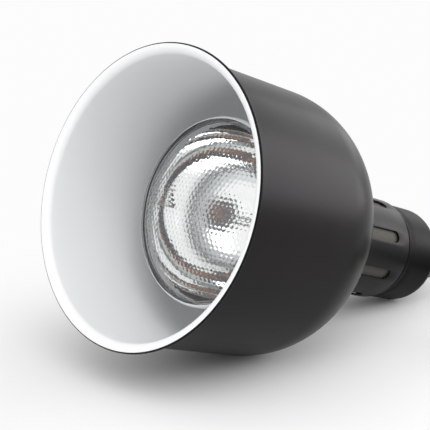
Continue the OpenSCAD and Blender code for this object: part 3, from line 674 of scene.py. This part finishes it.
def cut_away(piece, cutter, place=lamp_place):
    """Takes a cutter's shape out of a piece for good."""
    cutter.transform(place)
    tool = mesh_object("cutter", cutter)
    mesh = tool.data
    cut = piece.modifiers.new("cut", "BOOLEAN")
    cut.object = tool
    cut.solver = "EXACT"
    graph = bpy.context.evaluated_depsgraph_get()
    shape = bpy.data.meshes.new_from_object(piece.evaluated_get(graph))
    piece.modifiers.clear()
    piece.data = shape
    shape.set_sharp_from_angle(angle=radians(35))
    bpy.data.objects.remove(tool)
    bpy.data.meshes.remove(mesh)


cut_away(cap_piece, grub_rods(grub_r + grub_clear, cap_bore_r - overshoot, cap_r + overshoot))

bm = grub_rods(grub_r, tube_r - tube_wall - grub_reach, cap_r - grub_sunk)
soften(bm, grub_round, 2)
black_steel = grained("black_steel", (0.010, 0.010, 0.011), (0.018, 0.018, 0.020), (0.4, 0.5), Metallic=0.3,
                      grain=2000, patches=300, Specular_IOR_Level=0.2)
grub_piece = make_piece("cap_grub_screws", bm, "lamp", "cap_screws", "black_steel", black_steel)
cut_away(grub_piece, grub_rods(socket_r, cap_r - socket_floor, cap_r + overshoot, segments=6))

# Lampholder
# Glazed porcelain lampholder screwed under a bent zinc-plated strap, which two screws fix across the
# inner tube. Its brass shell, centre contact and two terminals are riveted and screwed to it.
porcelain = grained("glazed_porcelain", (0.70, 0.68, 0.61), (0.74, 0.72, 0.66), (0.08, 0.16),
                    grain=300, patches=40, relief=0.00002, Coat_Weight=0.6, Coat_Roughness=0.05)
zinc_plate = grained("zinc_plate", (0.50, 0.52, 0.54), (0.60, 0.61, 0.62), (0.26, 0.4), Metallic=1.0,
                     grain=1200, patches=120, relief=0.00003)
holder_brass = grained("holder_brass", (0.62, 0.46, 0.20), (0.70, 0.54, 0.26), (0.22, 0.34), Metallic=1.0,
                       grain=1500, patches=150, relief=0.00003)
bench_pieces(
    "lamp",
    ("holder_strap", "holder_bracket", "zinc_steel", zinc_plate),
    ("strap_screws", "bracket_screws", "zinc_steel", zinc_plate),
    ("porcelain_body", "lampholder_body", "porcelain", porcelain),
    ("tip_contact", "centre_contact", "holder_brass", holder_brass),
    ("contact_pins", "contact_rivets", "holder_brass", holder_brass),
    ("terminal_blocks", "wire_terminals", "holder_brass", holder_brass),
    ("clamp_screws", "terminal_screws", "zinc_steel", zinc_plate),
    ("long_screws", "holder_screws", "zinc_steel", zinc_plate))

bulb_front = 0.04811
bulb_l = 0.137
base_l = 0.0275
base_r = 0.0132
tip_z = bulb_front + bulb_l
base_z = tip_z - base_l
thread_pitch = 0.003629
thread_depth = 0.00075
thread_start = 0.6 * thread_pitch
thread_sheet = 0.001


def threaded(bm, outer, low, high):
    """Presses a right-hand rolled thread into the round walls of a turned sheet between two heights."""
    for vertex in bm.verts:
        r = hypot(vertex.co.x, vertex.co.y)
        if low < vertex.co.z < high and r > outer - thread_sheet:
            wave = atan2(vertex.co.y, vertex.co.x) - 2 * pi * vertex.co.z / thread_pitch
            runs_in = ease(min(vertex.co.z - low, high - vertex.co.z) / thread_start)
            sunk = thread_depth * runs_in * (0.5 - 0.5 * cos(wave))
            vertex.co.x *= 1 - sunk / r
            vertex.co.y *= 1 - sunk / r


shell_t = 0.00045
shell_play = 0.00055
shell_r = base_r + shell_play + shell_t
shell_in_r = shell_r - shell_t
shell_z0 = base_z + 0.003
shell_z1 = tip_z + 0.0025
floor_t = 0.0005
floor_hole_r = 0.0102
shell_steps = 110
bm = spun(line((shell_r, shell_z0), (shell_r, shell_z1), shell_steps)
          + [(shell_r, shell_z1), (floor_hole_r, shell_z1), (floor_hole_r, shell_z1 - floor_t),
             (shell_in_r, shell_z1 - floor_t)]
          + line((shell_in_r, shell_z1 - 0.0007), (shell_in_r, shell_z0), shell_steps)
          + [(shell_in_r, shell_z0)], steps=72)
threaded(bm, shell_r, shell_z0 + 0.0005, shell_z1 - 0.003)
make_piece("holder_shell", bm, "lamp", "lampholder_shell", "holder_brass", holder_brass, sharp=50)

# Wiring
# Three wires in heat-resistant sleeves leave the end of the sheath inside the cap: brown and blue go to
# the terminals, and green with yellow to a tag that is screwed to the strap.
brown_sleeve = grained("brown_sleeve", (0.16, 0.06, 0.025), (0.2, 0.08, 0.035), (0.42, 0.55), grain=1500)
blue_sleeve = grained("blue_sleeve", (0.02, 0.09, 0.30), (0.03, 0.12, 0.36), (0.42, 0.55), grain=1500)
green_sleeve, tree, shader, place = blank_material("green_yellow_sleeve")
stripe = add_node(tree, "TexWave", {"Vector": place, "Scale": 140}, bands_direction="Y")
striped = colour_bands(tree, stripe.outputs["Fac"], [(0.68, (0.05, 0.30, 0.06)), (0.74, (0.72, 0.60, 0.05))])
feed(tree, shader, {"Base Color": striped, "Roughness": 0.48})
bench_pieces(
    "lamp",
    ("brown_lead", "live_wire", "brown_wire", brown_sleeve),
    ("blue_lead", "neutral_wire", "blue_wire", blue_sleeve),
    ("green_yellow_lead", "earth_wire", "green_yellow_wire", green_sleeve),
    ("ring_tag", "earth_tag", "zinc_steel", zinc_plate),
    ("tag_screw", "earth_screw", "zinc_steel", zinc_plate),
    ("sheath_end", "cord_tail", "cord_sheath", sheath_rubber),
    sharp=50)

# Bulb lens
# Clear pressed-glass front of a reflector bulb, 121 mm across and gently domed. Its inside is covered
# with small six-sided dimples that spread the light. Its pale rim is melted on to the bowl.
bulb_r = 0.0605
lens_curve = 0.200
lens_t = 0.0035
edge_r = 0.0035
lens_edge = bulb_r - edge_r
lens_inner_edge = lens_edge - 0.0015
lens_rim_w = 0.004
lens_rim_l = 0.0055
pale_rim_w = 0.0016
dimple_pitch = 0.0034
dimple_relief = 0.00018
dimple_end = lens_inner_edge - 0.002
dimple_fade = 0.0015


def lens_depth(r):
    """How far from the shade's rim the lens's front lies at a radius."""
    return bulb_front + lens_curve - sqrt(lens_curve ** 2 - r * r)


def lens_face(edge, behind, steps):
    """Points from the axis out to an edge, at the lens's front or a thickness behind it."""
    radii = [edge * i / steps for i in range(steps + 1)]
    return [(r, lens_depth(r) + behind) for r in radii]


lens_back = lens_depth(lens_edge) + lens_rim_l
lens_profile = (
    lens_face(lens_edge, 0, 40)
    + arc((lens_edge, lens_depth(lens_edge) + 0.0036), edge_r, -60, 0, 10)
    + [(bulb_r, lens_back), (bulb_r - lens_rim_w, lens_back)]
    + lens_face(lens_inner_edge, lens_t, 92)[::-1]
)
bm = spun(lens_profile, steps=360, closed=False)
wave_number = 2 * pi / dimple_pitch / cos(radians(30))
for vertex in bm.verts:
    x, y, z = vertex.co
    r = hypot(x, y)
    if z > lens_depth(r) + lens_t / 2:
        rise = sum(cos(wave_number * (x * cos(a) + y * sin(a))) for a in (0, pi / 3, 2 * pi / 3)) / 3
        vertex.co.z += dimple_relief * rise * min(1, max(0, (dimple_end - r) / dimple_fade))
lens_glass, tree, shader, place = blank_material("lens_glass")
ripple = add_node(tree, "TexNoise", {"Vector": place, "Scale": 60})
smooth_glass = add_node(tree, "MapRange", {"Value": ripple.outputs["Fac"], "To Min": 0.01, "To Max": 0.035})
feed(tree, shader, {"Base Color": (0.985, 0.995, 0.992, 1), "Transmission Weight": 1, "IOR": 1.47,
                    "Roughness": smooth_glass.outputs["Result"]})
raise_surface(tree, shader, ripple.outputs["Fac"], 0.3, 0.00006)
ground_edge = grained("ground_edge", (0.86, 0.875, 0.88), (0.90, 0.915, 0.92), (0.3, 0.45),
                      grain=600, patches=40)
for face in bm.faces:
    if face.calc_center_median().xy.length > bulb_r - pale_rim_w:
        face.material_index = 1
make_piece("dimpled_lens", bm, "bulb", "bulb_lens", "clear_glass", lens_glass, ground_edge, sharp=50)

# Bulb bowl
# Deep pressed-glass bowl with a short neck and a flat floor, silvered inside down to a pale ground band
# at the lens. Its mirror is almost a half sphere, so it shows what stands in front as a spot and a ring.
bowl_rim = lens_back + 0.00005
bowl_z = lens_back + 0.006
mirror_z = bowl_z - 0.001
bowl_in_r = bulb_r - 0.0043
bowl_out_r = bulb_r - 0.0011
skirt_z = base_z - 0.031
glass_end = skirt_z + 0.004
bowl_floor = glass_end - 0.0105
boss_r = 0.015
neck_r = 0.0195
bowl_depth = (bowl_floor - bowl_z) / sqrt(1 - (boss_r / bowl_in_r) ** 2)
outer_depth = bowl_depth + 0.0035


def bowl_side(r, depth, end_r, steps):
    """The bowl's wall from its widest part to where it has narrowed to a radius."""
    end = degrees(acos(end_r / r))
    turns = [radians(end * i / steps) for i in range(steps + 1)]
    return [(r * cos(turn), bowl_z + depth * sin(turn)) for turn in turns]


bowl_profile = (
    [(bulb_r, bowl_rim), (bulb_r, bowl_rim + 0.0012), (bulb_r - 0.0003, bowl_rim + 0.0018),
     (bowl_out_r, bowl_rim + 0.0026)]
    + bowl_side(bowl_out_r, outer_depth, neck_r, 48)
    + [(neck_r - 0.001, skirt_z - 0.0015), (neck_r - 0.001, glass_end - 0.001),
       (neck_r - 0.0014, glass_end - 0.0003), (neck_r - 0.002, glass_end), (0, glass_end), (0, bowl_floor)]
    + bowl_side(bowl_in_r, bowl_depth, boss_r, 72)[::-1]
    + [(bowl_in_r, bowl_rim)]
)
bm = spun(bowl_profile, steps=256)
for face in bm.faces:
    centre = face.calc_center_median()
    looks_in = face.normal.x * centre.x + face.normal.y * centre.y < 0
    near_floor = centre.z < bowl_floor + 0.0005 and hypot(centre.x, centre.y) < boss_r
    if (looks_in and centre.z > mirror_z) or (near_floor and face.normal.z < 0):
        face.material_index = 1
    elif looks_in:
        face.material_index = 3
    else:
        face.material_index = 0 if centre.z > mirror_z else 2
silver_back = grained("silver_back", (0.62, 0.63, 0.64), (0.68, 0.69, 0.7), (0.16, 0.26),
                      grain=300, patches=15, Metallic=1.0)
mirror_film = grained("mirror_film", (0.945, 0.95, 0.95), (0.965, 0.965, 0.965), (0.02, 0.05),
                      grain=120, patches=12, relief=0.00002, Metallic=1.0)
make_piece("silvered_bowl", bm, "bulb", "bulb_reflector", "silvered_glass",
           silver_back, mirror_film, lens_glass, ground_edge)

# Filament and leads
# Coiled tungsten filament between two drawn-wire leads, each brazed into a brass ferrule that seals
# through the floor of the bowl. Feed wires run on from the ferrules to the base.
filament_z = bowl_floor - 0.024
lead_gap = 0.022
lead_turn = radians(78)
coil_r = 0.00105
filament_wire_r = 0.00015
filament_turns = 26
turn_steps = 12
filament_run = lead_gap - 0.0018
filament_line = []
for i in range(filament_turns * turn_steps + 1):
    turn = i / turn_steps
    local = Vector((filament_run * (turn / filament_turns - 0.5), coil_r * cos(2 * pi * turn),
                    filament_z + coil_r * sin(2 * pi * turn)))
    filament_line.append(lamp_place @ Matrix.Rotation(lead_turn, 4, "Z") @ local)
filament = round_wire("tungsten_coil", filament_line, filament_wire_r, sides=1)
stand_in(filament, "bulb", "tungsten", "bulb_filament")
tungsten = grained("dull_tungsten", (0.12, 0.12, 0.125), (0.2, 0.2, 0.2), (0.35, 0.5), Metallic=1.0,
                   grain=1500, patches=400)
filament.data.materials.append(tungsten)
oxidised_brass = grained("oxidised_brass", (0.42, 0.2, 0.1), (0.55, 0.28, 0.15), (0.25, 0.4), Metallic=1.0,
                         patches=300, relief=0.00003)
drawn_wire = grained("drawn_wire", (0.42, 0.4, 0.36), (0.5, 0.48, 0.44), (0.25, 0.35), Metallic=1.0,
                     grain=1500, patches=400)
bench_pieces("bulb", ("seal_ferrules", "bulb_ferrules", "ferrule_brass", oxidised_brass),
             ("filament_posts", "bulb_lead_wires", "lead_metal", drawn_wire))
bench_pieces("bulb", ("base_wires", "bulb_feed_wires", "lead_metal", drawn_wire), sharp=70)

# Bulb base
# Spun aluminium skirt crimped on to the glass neck, and a rolled screw shell with a black glass
# insulator and a solder tip. The thread is pressed, so it shows inside and out.
bulb_aluminium = turned("bulb_aluminium", (0.60, 0.61, 0.62), (0.68, 0.69, 0.70), (0.26, 0.36), pitch=1500,
                        ring_relief=0.00002, Metallic=1.0)
bm = spun([(neck_r - 0.0009, skirt_z + 0.0002)]
          + arc((neck_r - 0.0006, skirt_z + 0.0004), 0.0004, -90, 0, 4)
          + [(neck_r - 0.00025, skirt_z + 0.003), (neck_r - 0.0003, skirt_z + 0.005),
             (neck_r - 0.0007, skirt_z + 0.0066)]
          + line((neck_r - 0.0013, skirt_z + 0.0083), (base_r + 0.001, base_z - 0.0025), 6)
          + [(base_r + 0.001, base_z - 0.0025), (base_r + 0.0006, base_z - 0.0012),
             (base_r + 0.0002, base_z - 0.0001), (base_r - 0.0003, base_z - 0.0001),
             (base_r + 0.0005, base_z - 0.0027), (neck_r - 0.0009, skirt_z + 0.006)], steps=128)
make_piece("bulb_collar", bm, "bulb", "bulb_skirt", "cap_aluminium", bulb_aluminium)

roll_t = 0.0004
roll_r = base_r - roll_t
roll_steps = 96
roll_end = tip_z - 0.005
bm = spun(line((base_r, base_z), (base_r, roll_end), roll_steps)
          + [(base_r, roll_end), (0.0106, tip_z - 0.0037), (0.0081, tip_z - 0.0026),
             (0.0081, tip_z - 0.0031), (0.0106, tip_z - 0.0041)]
          + line((roll_r, roll_end - 0.0002), (roll_r, base_z), roll_steps)
          + [(roll_r, base_z)], steps=72)
threaded(bm, base_r, base_z + 0.001, tip_z - 0.0055)
make_piece("bulb_screw", bm, "bulb", "bulb_screw_shell", "cap_aluminium", bulb_aluminium, sharp=50)

insulator_z = tip_z - 0.0014
bm = spun([(0, tip_z - 0.0046), (0.008, tip_z - 0.0046), (0.008, tip_z - 0.0027), (0.0075, tip_z - 0.0022),
           (0.0056, tip_z - 0.0015), (0.0052, insulator_z), (0, insulator_z)], steps=64, closed=False)
black_glass = grained("black_glass", (0.012, 0.012, 0.016), (0.02, 0.02, 0.024), (0.06, 0.14), grain=300,
                      patches=100)
make_piece("glass_insulator", bm, "bulb", "bulb_insulator", "black_glass", black_glass)

solder_z = tip_z - 0.00135
bm = spun([(0, solder_z), (0.0046, solder_z), (0.0045, tip_z - 0.0009), (0.0040, tip_z - 0.0004),
           (0.0031, tip_z - 0.0001), (0.0018, tip_z), (0, tip_z)], steps=48, closed=False)
solder = grained("dull_solder", (0.36, 0.35, 0.33), (0.48, 0.47, 0.45), (0.34, 0.5), Metallic=1.0,
                 patches=250, relief=0.00006)
make_piece("solder_tip", bm, "bulb_travel", "bulb_tip", "solder", solder)

# Cord grip
# Black nylon compression grip through the crown of the cap, with a hexagon, a rubber washer and a
# locknut inside. Its grooved dome nut squeezes a rubber seal and holds a ribbed strain relief.
cord_r = cord_d / 2
flange_z = cap_z1 + 0.001
nut_z0 = flange_z + 0.0063
nut_l = 0.0275
nut_z1 = nut_z0 + nut_l
nut_r = 0.0145
nut_dome = 0.005
relief_z0 = nut_z0 + 0.0125
relief_z1 = nut_z1 + 0.022
black_nylon = grained("black_nylon", (0.012, 0.012, 0.0125), (0.02, 0.02, 0.021), (0.36, 0.48), grain=1400,
                      patches=80)
soft_rubber = grained("soft_rubber", (0.014, 0.014, 0.014), (0.022, 0.022, 0.022), (0.55, 0.7), grain=1200,
                      patches=60, relief=0.00005, Specular_IOR_Level=0.35)
bench_pieces(
    "lamp",
    ("grip_body", "gland_body", "black_nylon", black_nylon),
    ("grip_washer", "gland_washer", "seal_rubber", soft_rubber),
    ("grip_locknut", "gland_locknut", "zinc_steel", zinc_plate),
    ("grip_seal", "gland_seal", "seal_rubber", soft_rubber))

grooves = 12
groove_steps = 24
groove_r = 0.0011
groove_centre = nut_r + 0.0005
groove_low = nut_z0 + 0.002
groove_high = groove_low + nut_l - 0.009
nut_bore = stem_r + 0.0001
nut_hole = cord_r + 0.0037
nut_shoulder = relief_z0 + 0.0033
step_z = 0.0001
bm = spun([(nut_bore, nut_z0), (nut_r - 0.0006, nut_z0), (nut_r, nut_z0 + 0.0006),
           (nut_r, groove_low - step_z), (nut_r, groove_low)]
          + line((nut_r, groove_low + 0.002), (nut_r, groove_high), 6)
          + [(nut_r, groove_high), (nut_r, groove_high + step_z)]
          + arc((nut_r - nut_dome, nut_z1 - nut_dome), nut_dome, 0, 90, 12)
          + [(nut_hole + 0.0003, nut_z1), (nut_hole, nut_z1 - 0.0003), (nut_hole, nut_shoulder),
             (nut_bore, nut_shoulder)], steps=grooves * groove_steps)
for vertex in bm.verts:
    r = hypot(vertex.co.x, vertex.co.y)
    if r > nut_r - 10 * tiny and groove_low - tiny < vertex.co.z < groove_high + tiny:
        turn = atan2(vertex.co.y, vertex.co.x)
        turn -= 2 * pi / grooves * round(turn * grooves / (2 * pi))
        aside = groove_centre * sin(turn)
        if abs(aside) < groove_r:
            depth = groove_centre * cos(turn) - sqrt(groove_r ** 2 - aside ** 2)
            vertex.co.x *= min(1, depth / r)
            vertex.co.y *= min(1, depth / r)
make_piece("grip_nut", bm, "lamp", "gland_nut", "black_nylon", black_nylon, sharp=40)

ribs = 5
rib_from = nut_z1 + 0.002
rib_step = (relief_z1 - rib_from) / ribs
rib_cut = 0.0008
relief_r = cord_r + 0.0035
relief_hole = cord_r + 0.0001


def relief_taper(z):
    """The strain relief's outer radius, which narrows towards its end."""
    return relief_r - 0.0001 - 0.0019 * (z - nut_z1) / (relief_z1 - nut_z1)


foot_r = stem_r - 0.0006
foot_z = relief_z0 + 0.0031
relief_profile = [(relief_hole, relief_z0), (foot_r, relief_z0), (foot_r, foot_z), (relief_r, foot_z),
                  (relief_r, nut_z1)]
for i in range(ribs):
    z = rib_from + rib_step * i
    top = relief_taper(z)
    relief_profile += [(top - 0.0002, z - 0.0001), (top, z + 0.0002), (top, z + rib_step * 0.10),
                       (top - 0.0002, z + rib_step * 0.15), (top - rib_cut, z + rib_step * 0.22),
                       (top - rib_cut, z + rib_step * 0.62), (top - 0.0003, z + rib_step * 0.72)]
end_r = relief_taper(relief_z1)
relief_profile += [(end_r, relief_z1 - 0.0004), (end_r - 0.0004, relief_z1), (relief_hole, relief_z1)]
bm = spun(relief_profile, steps=96)
make_piece("ribbed_relief", bm, "lamp", "strain_relief", "seal_rubber", soft_rubber, sharp=50)

# Coil tie
# Soft black woven band, 9 mm wide, closed round one side of the coil, where it holds the turns together
# as the lamp comes from the shelf.
band_t = 0.0007
band_w = 0.009
band_corner = 0.0032
low_r = coil_radius(2.5) - cord_r - 0.0042
high_r = coil_radius(0.5) + cord_r + 0.0004
high_z = coil_centre.z + coil_pitch + cord_r + 0.0002
band_x = (coil_centre.x - high_r - band_t, coil_centre.x - low_r + band_t)
band_top = high_z + band_t
bm = bmesh.new()
band_place = (Matrix.Translation(((band_x[0] + band_x[1]) / 2, coil_centre.y, band_top / 2))
              @ Matrix.Diagonal((band_x[1] - band_x[0], band_w, band_top, 1)))
bmesh.ops.create_cube(bm, size=1, matrix=band_place)
bmesh.ops.delete(bm, geom=[face for face in bm.faces if abs(face.normal.y) > 0.9], context="FACES_ONLY")
soften(bm, band_corner, 6)
bmesh.ops.recalc_face_normals(bm, faces=bm.faces[:])
bmesh.ops.solidify(bm, geom=bm.faces[:], thickness=band_t)
soften(bm, 0.0002, 2)
band_cloth = grained("band_cloth", (0.02, 0.02, 0.021), (0.034, 0.034, 0.036), (0.7, 0.85), grain=2200,
                     patches=120, relief=0.00012, Sheen_Weight=0.4)
tree = band_cloth.node_tree
weave = add_node(tree, "TexWave", {"Vector": object_place(tree), "Scale": 420}, bands_direction="Y")
raise_surface(tree, tree.nodes["Principled BSDF"], weave.outputs["Fac"], 0.5, 0.0001)
make_piece("woven_band", bm, "lamp", "coil_tie", "tie_band", band_cloth, place=Matrix.Identity(4))

# Plug
# Moulded black rubber plug with two round nickel-plated pins, and a spring earth clip in a recess on
# either side. It lies on its side at the end of the cord.
plug_place = Matrix.Translation(plug_entry) @ Matrix.Rotation(-pi / 2, 4, "Y")
plug_r = plug_height
plug_face = 0.060
clip_size = (0.0008, 0.006, 0.0144)
clip_depth = 0.0015
recess_size = (0.003, 0.0072, 0.016)
pin_gap = 0.019
pin_r = 0.0024
pin_root = 0.0019
pin_hole = pin_root + 0.00005
pin_l = 0.019
pin_tip = 0.0014
finger_grooves = 3
finger_pitch = 0.0045
finger_r = 0.0042
finger_flat = 0.36
plug_rubber = grained("plug_rubber", (0.014, 0.014, 0.0145), (0.024, 0.024, 0.025), (0.4, 0.52), grain=1100,
                      patches=50, relief=0.00006)
bm = spun([(0, 0), (cord_r + 0.0007, 0), (cord_r + 0.001, 0.0003)]
          + line((cord_r + 0.0012, 0.002), (cord_r + 0.0028, 0.019), 6)
          + [(cord_r + 0.0028, 0.019), (0.0072, 0.0203), (0.0082, 0.0207)]
          + arc((0.0095, 0.026), 0.005, -90, 0, 10)
          + [(0.0147, 0.029), (0.0149, 0.0325), (0.0152, 0.036), (0.0155, 0.0385), (0.016, 0.041),
             (0.0168, 0.044), (plug_r - 0.0006, 0.0472), (plug_r - 0.0002, 0.0478), (plug_r, 0.0485)]
          + line((plug_r, 0.052), (plug_r, plug_face - 0.001), 2)
          + arc((plug_r - 0.001, plug_face - 0.001), 0.001, 0, 90, 5) + [(0, plug_face)],
          steps=128, closed=False)
plug_piece = make_piece("plug_moulding", bm, "lamp", "plug_body", "plug_moulding", plug_rubber,
                        place=plug_place)


def side_block(bm, side, x, z, size):
    """Adds a block on one side of the plug."""
    place = Matrix.Translation((side * x, 0, z)) @ Matrix.Diagonal((*size, 1))
    bmesh.ops.create_cube(bm, size=1, matrix=place)


cutter = bmesh.new()
for side in (-1, 1):
    side_block(cutter, side, plug_r - 0.0005, plug_face - 0.007, recess_size)
    hole = Matrix.Translation((0, side * pin_gap / 2, plug_face - 0.004))
    bmesh.ops.create_cone(cutter, cap_ends=True, segments=32, radius1=pin_hole, radius2=pin_hole,
                          depth=0.010, matrix=hole)
for i in range(finger_grooves):
    for side in (-1, 1):
        finger = Matrix.Translation((0, side * 0.0182, 0.030 + finger_pitch * i))
        place = finger @ Matrix.Rotation(pi / 2, 4, "Y") @ Matrix.Diagonal((finger_flat, 1, 1, 1))
        bmesh.ops.create_cone(cutter, cap_ends=True, segments=24, radius1=finger_r, radius2=finger_r,
                              depth=0.030, matrix=place)
cut_away(plug_piece, cutter, place=plug_place)

nickel_plate = grained("nickel_plate", (0.66, 0.64, 0.6), (0.74, 0.72, 0.68), (0.16, 0.26), Metallic=1.0,
                       grain=1500, patches=150, relief=0.00002)
bm = spun([(0, plug_face - 0.0088), (pin_root, plug_face - 0.0088), (pin_root, plug_face),
           (pin_r, plug_face), (pin_r, plug_face + pin_l - pin_tip)]
          + arc((pin_r - pin_tip, plug_face + pin_l - pin_tip), pin_tip, 0, 90, 6)
          + [(0, plug_face + pin_l)], steps=48, closed=False)
bmesh.ops.translate(bm, verts=bm.verts[:], vec=(0, -pin_gap / 2, 0))
bmesh.ops.translate(bm, verts=double(bm), vec=(0, pin_gap, 0))
make_piece("nickel_pins", bm, "lamp", "plug_pins", "pin_plate", nickel_plate, place=plug_place)

bm = bmesh.new()
for side in (-1, 1):
    side_block(bm, side, plug_r - clip_depth, plug_face - 0.0076, clip_size)
soften(bm, 0.00025, 3)
make_piece("spring_clips", bm, "lamp", "plug_earth_clips", "pin_plate", nickel_plate, place=plug_place)

bpy.context.view_layer.update()
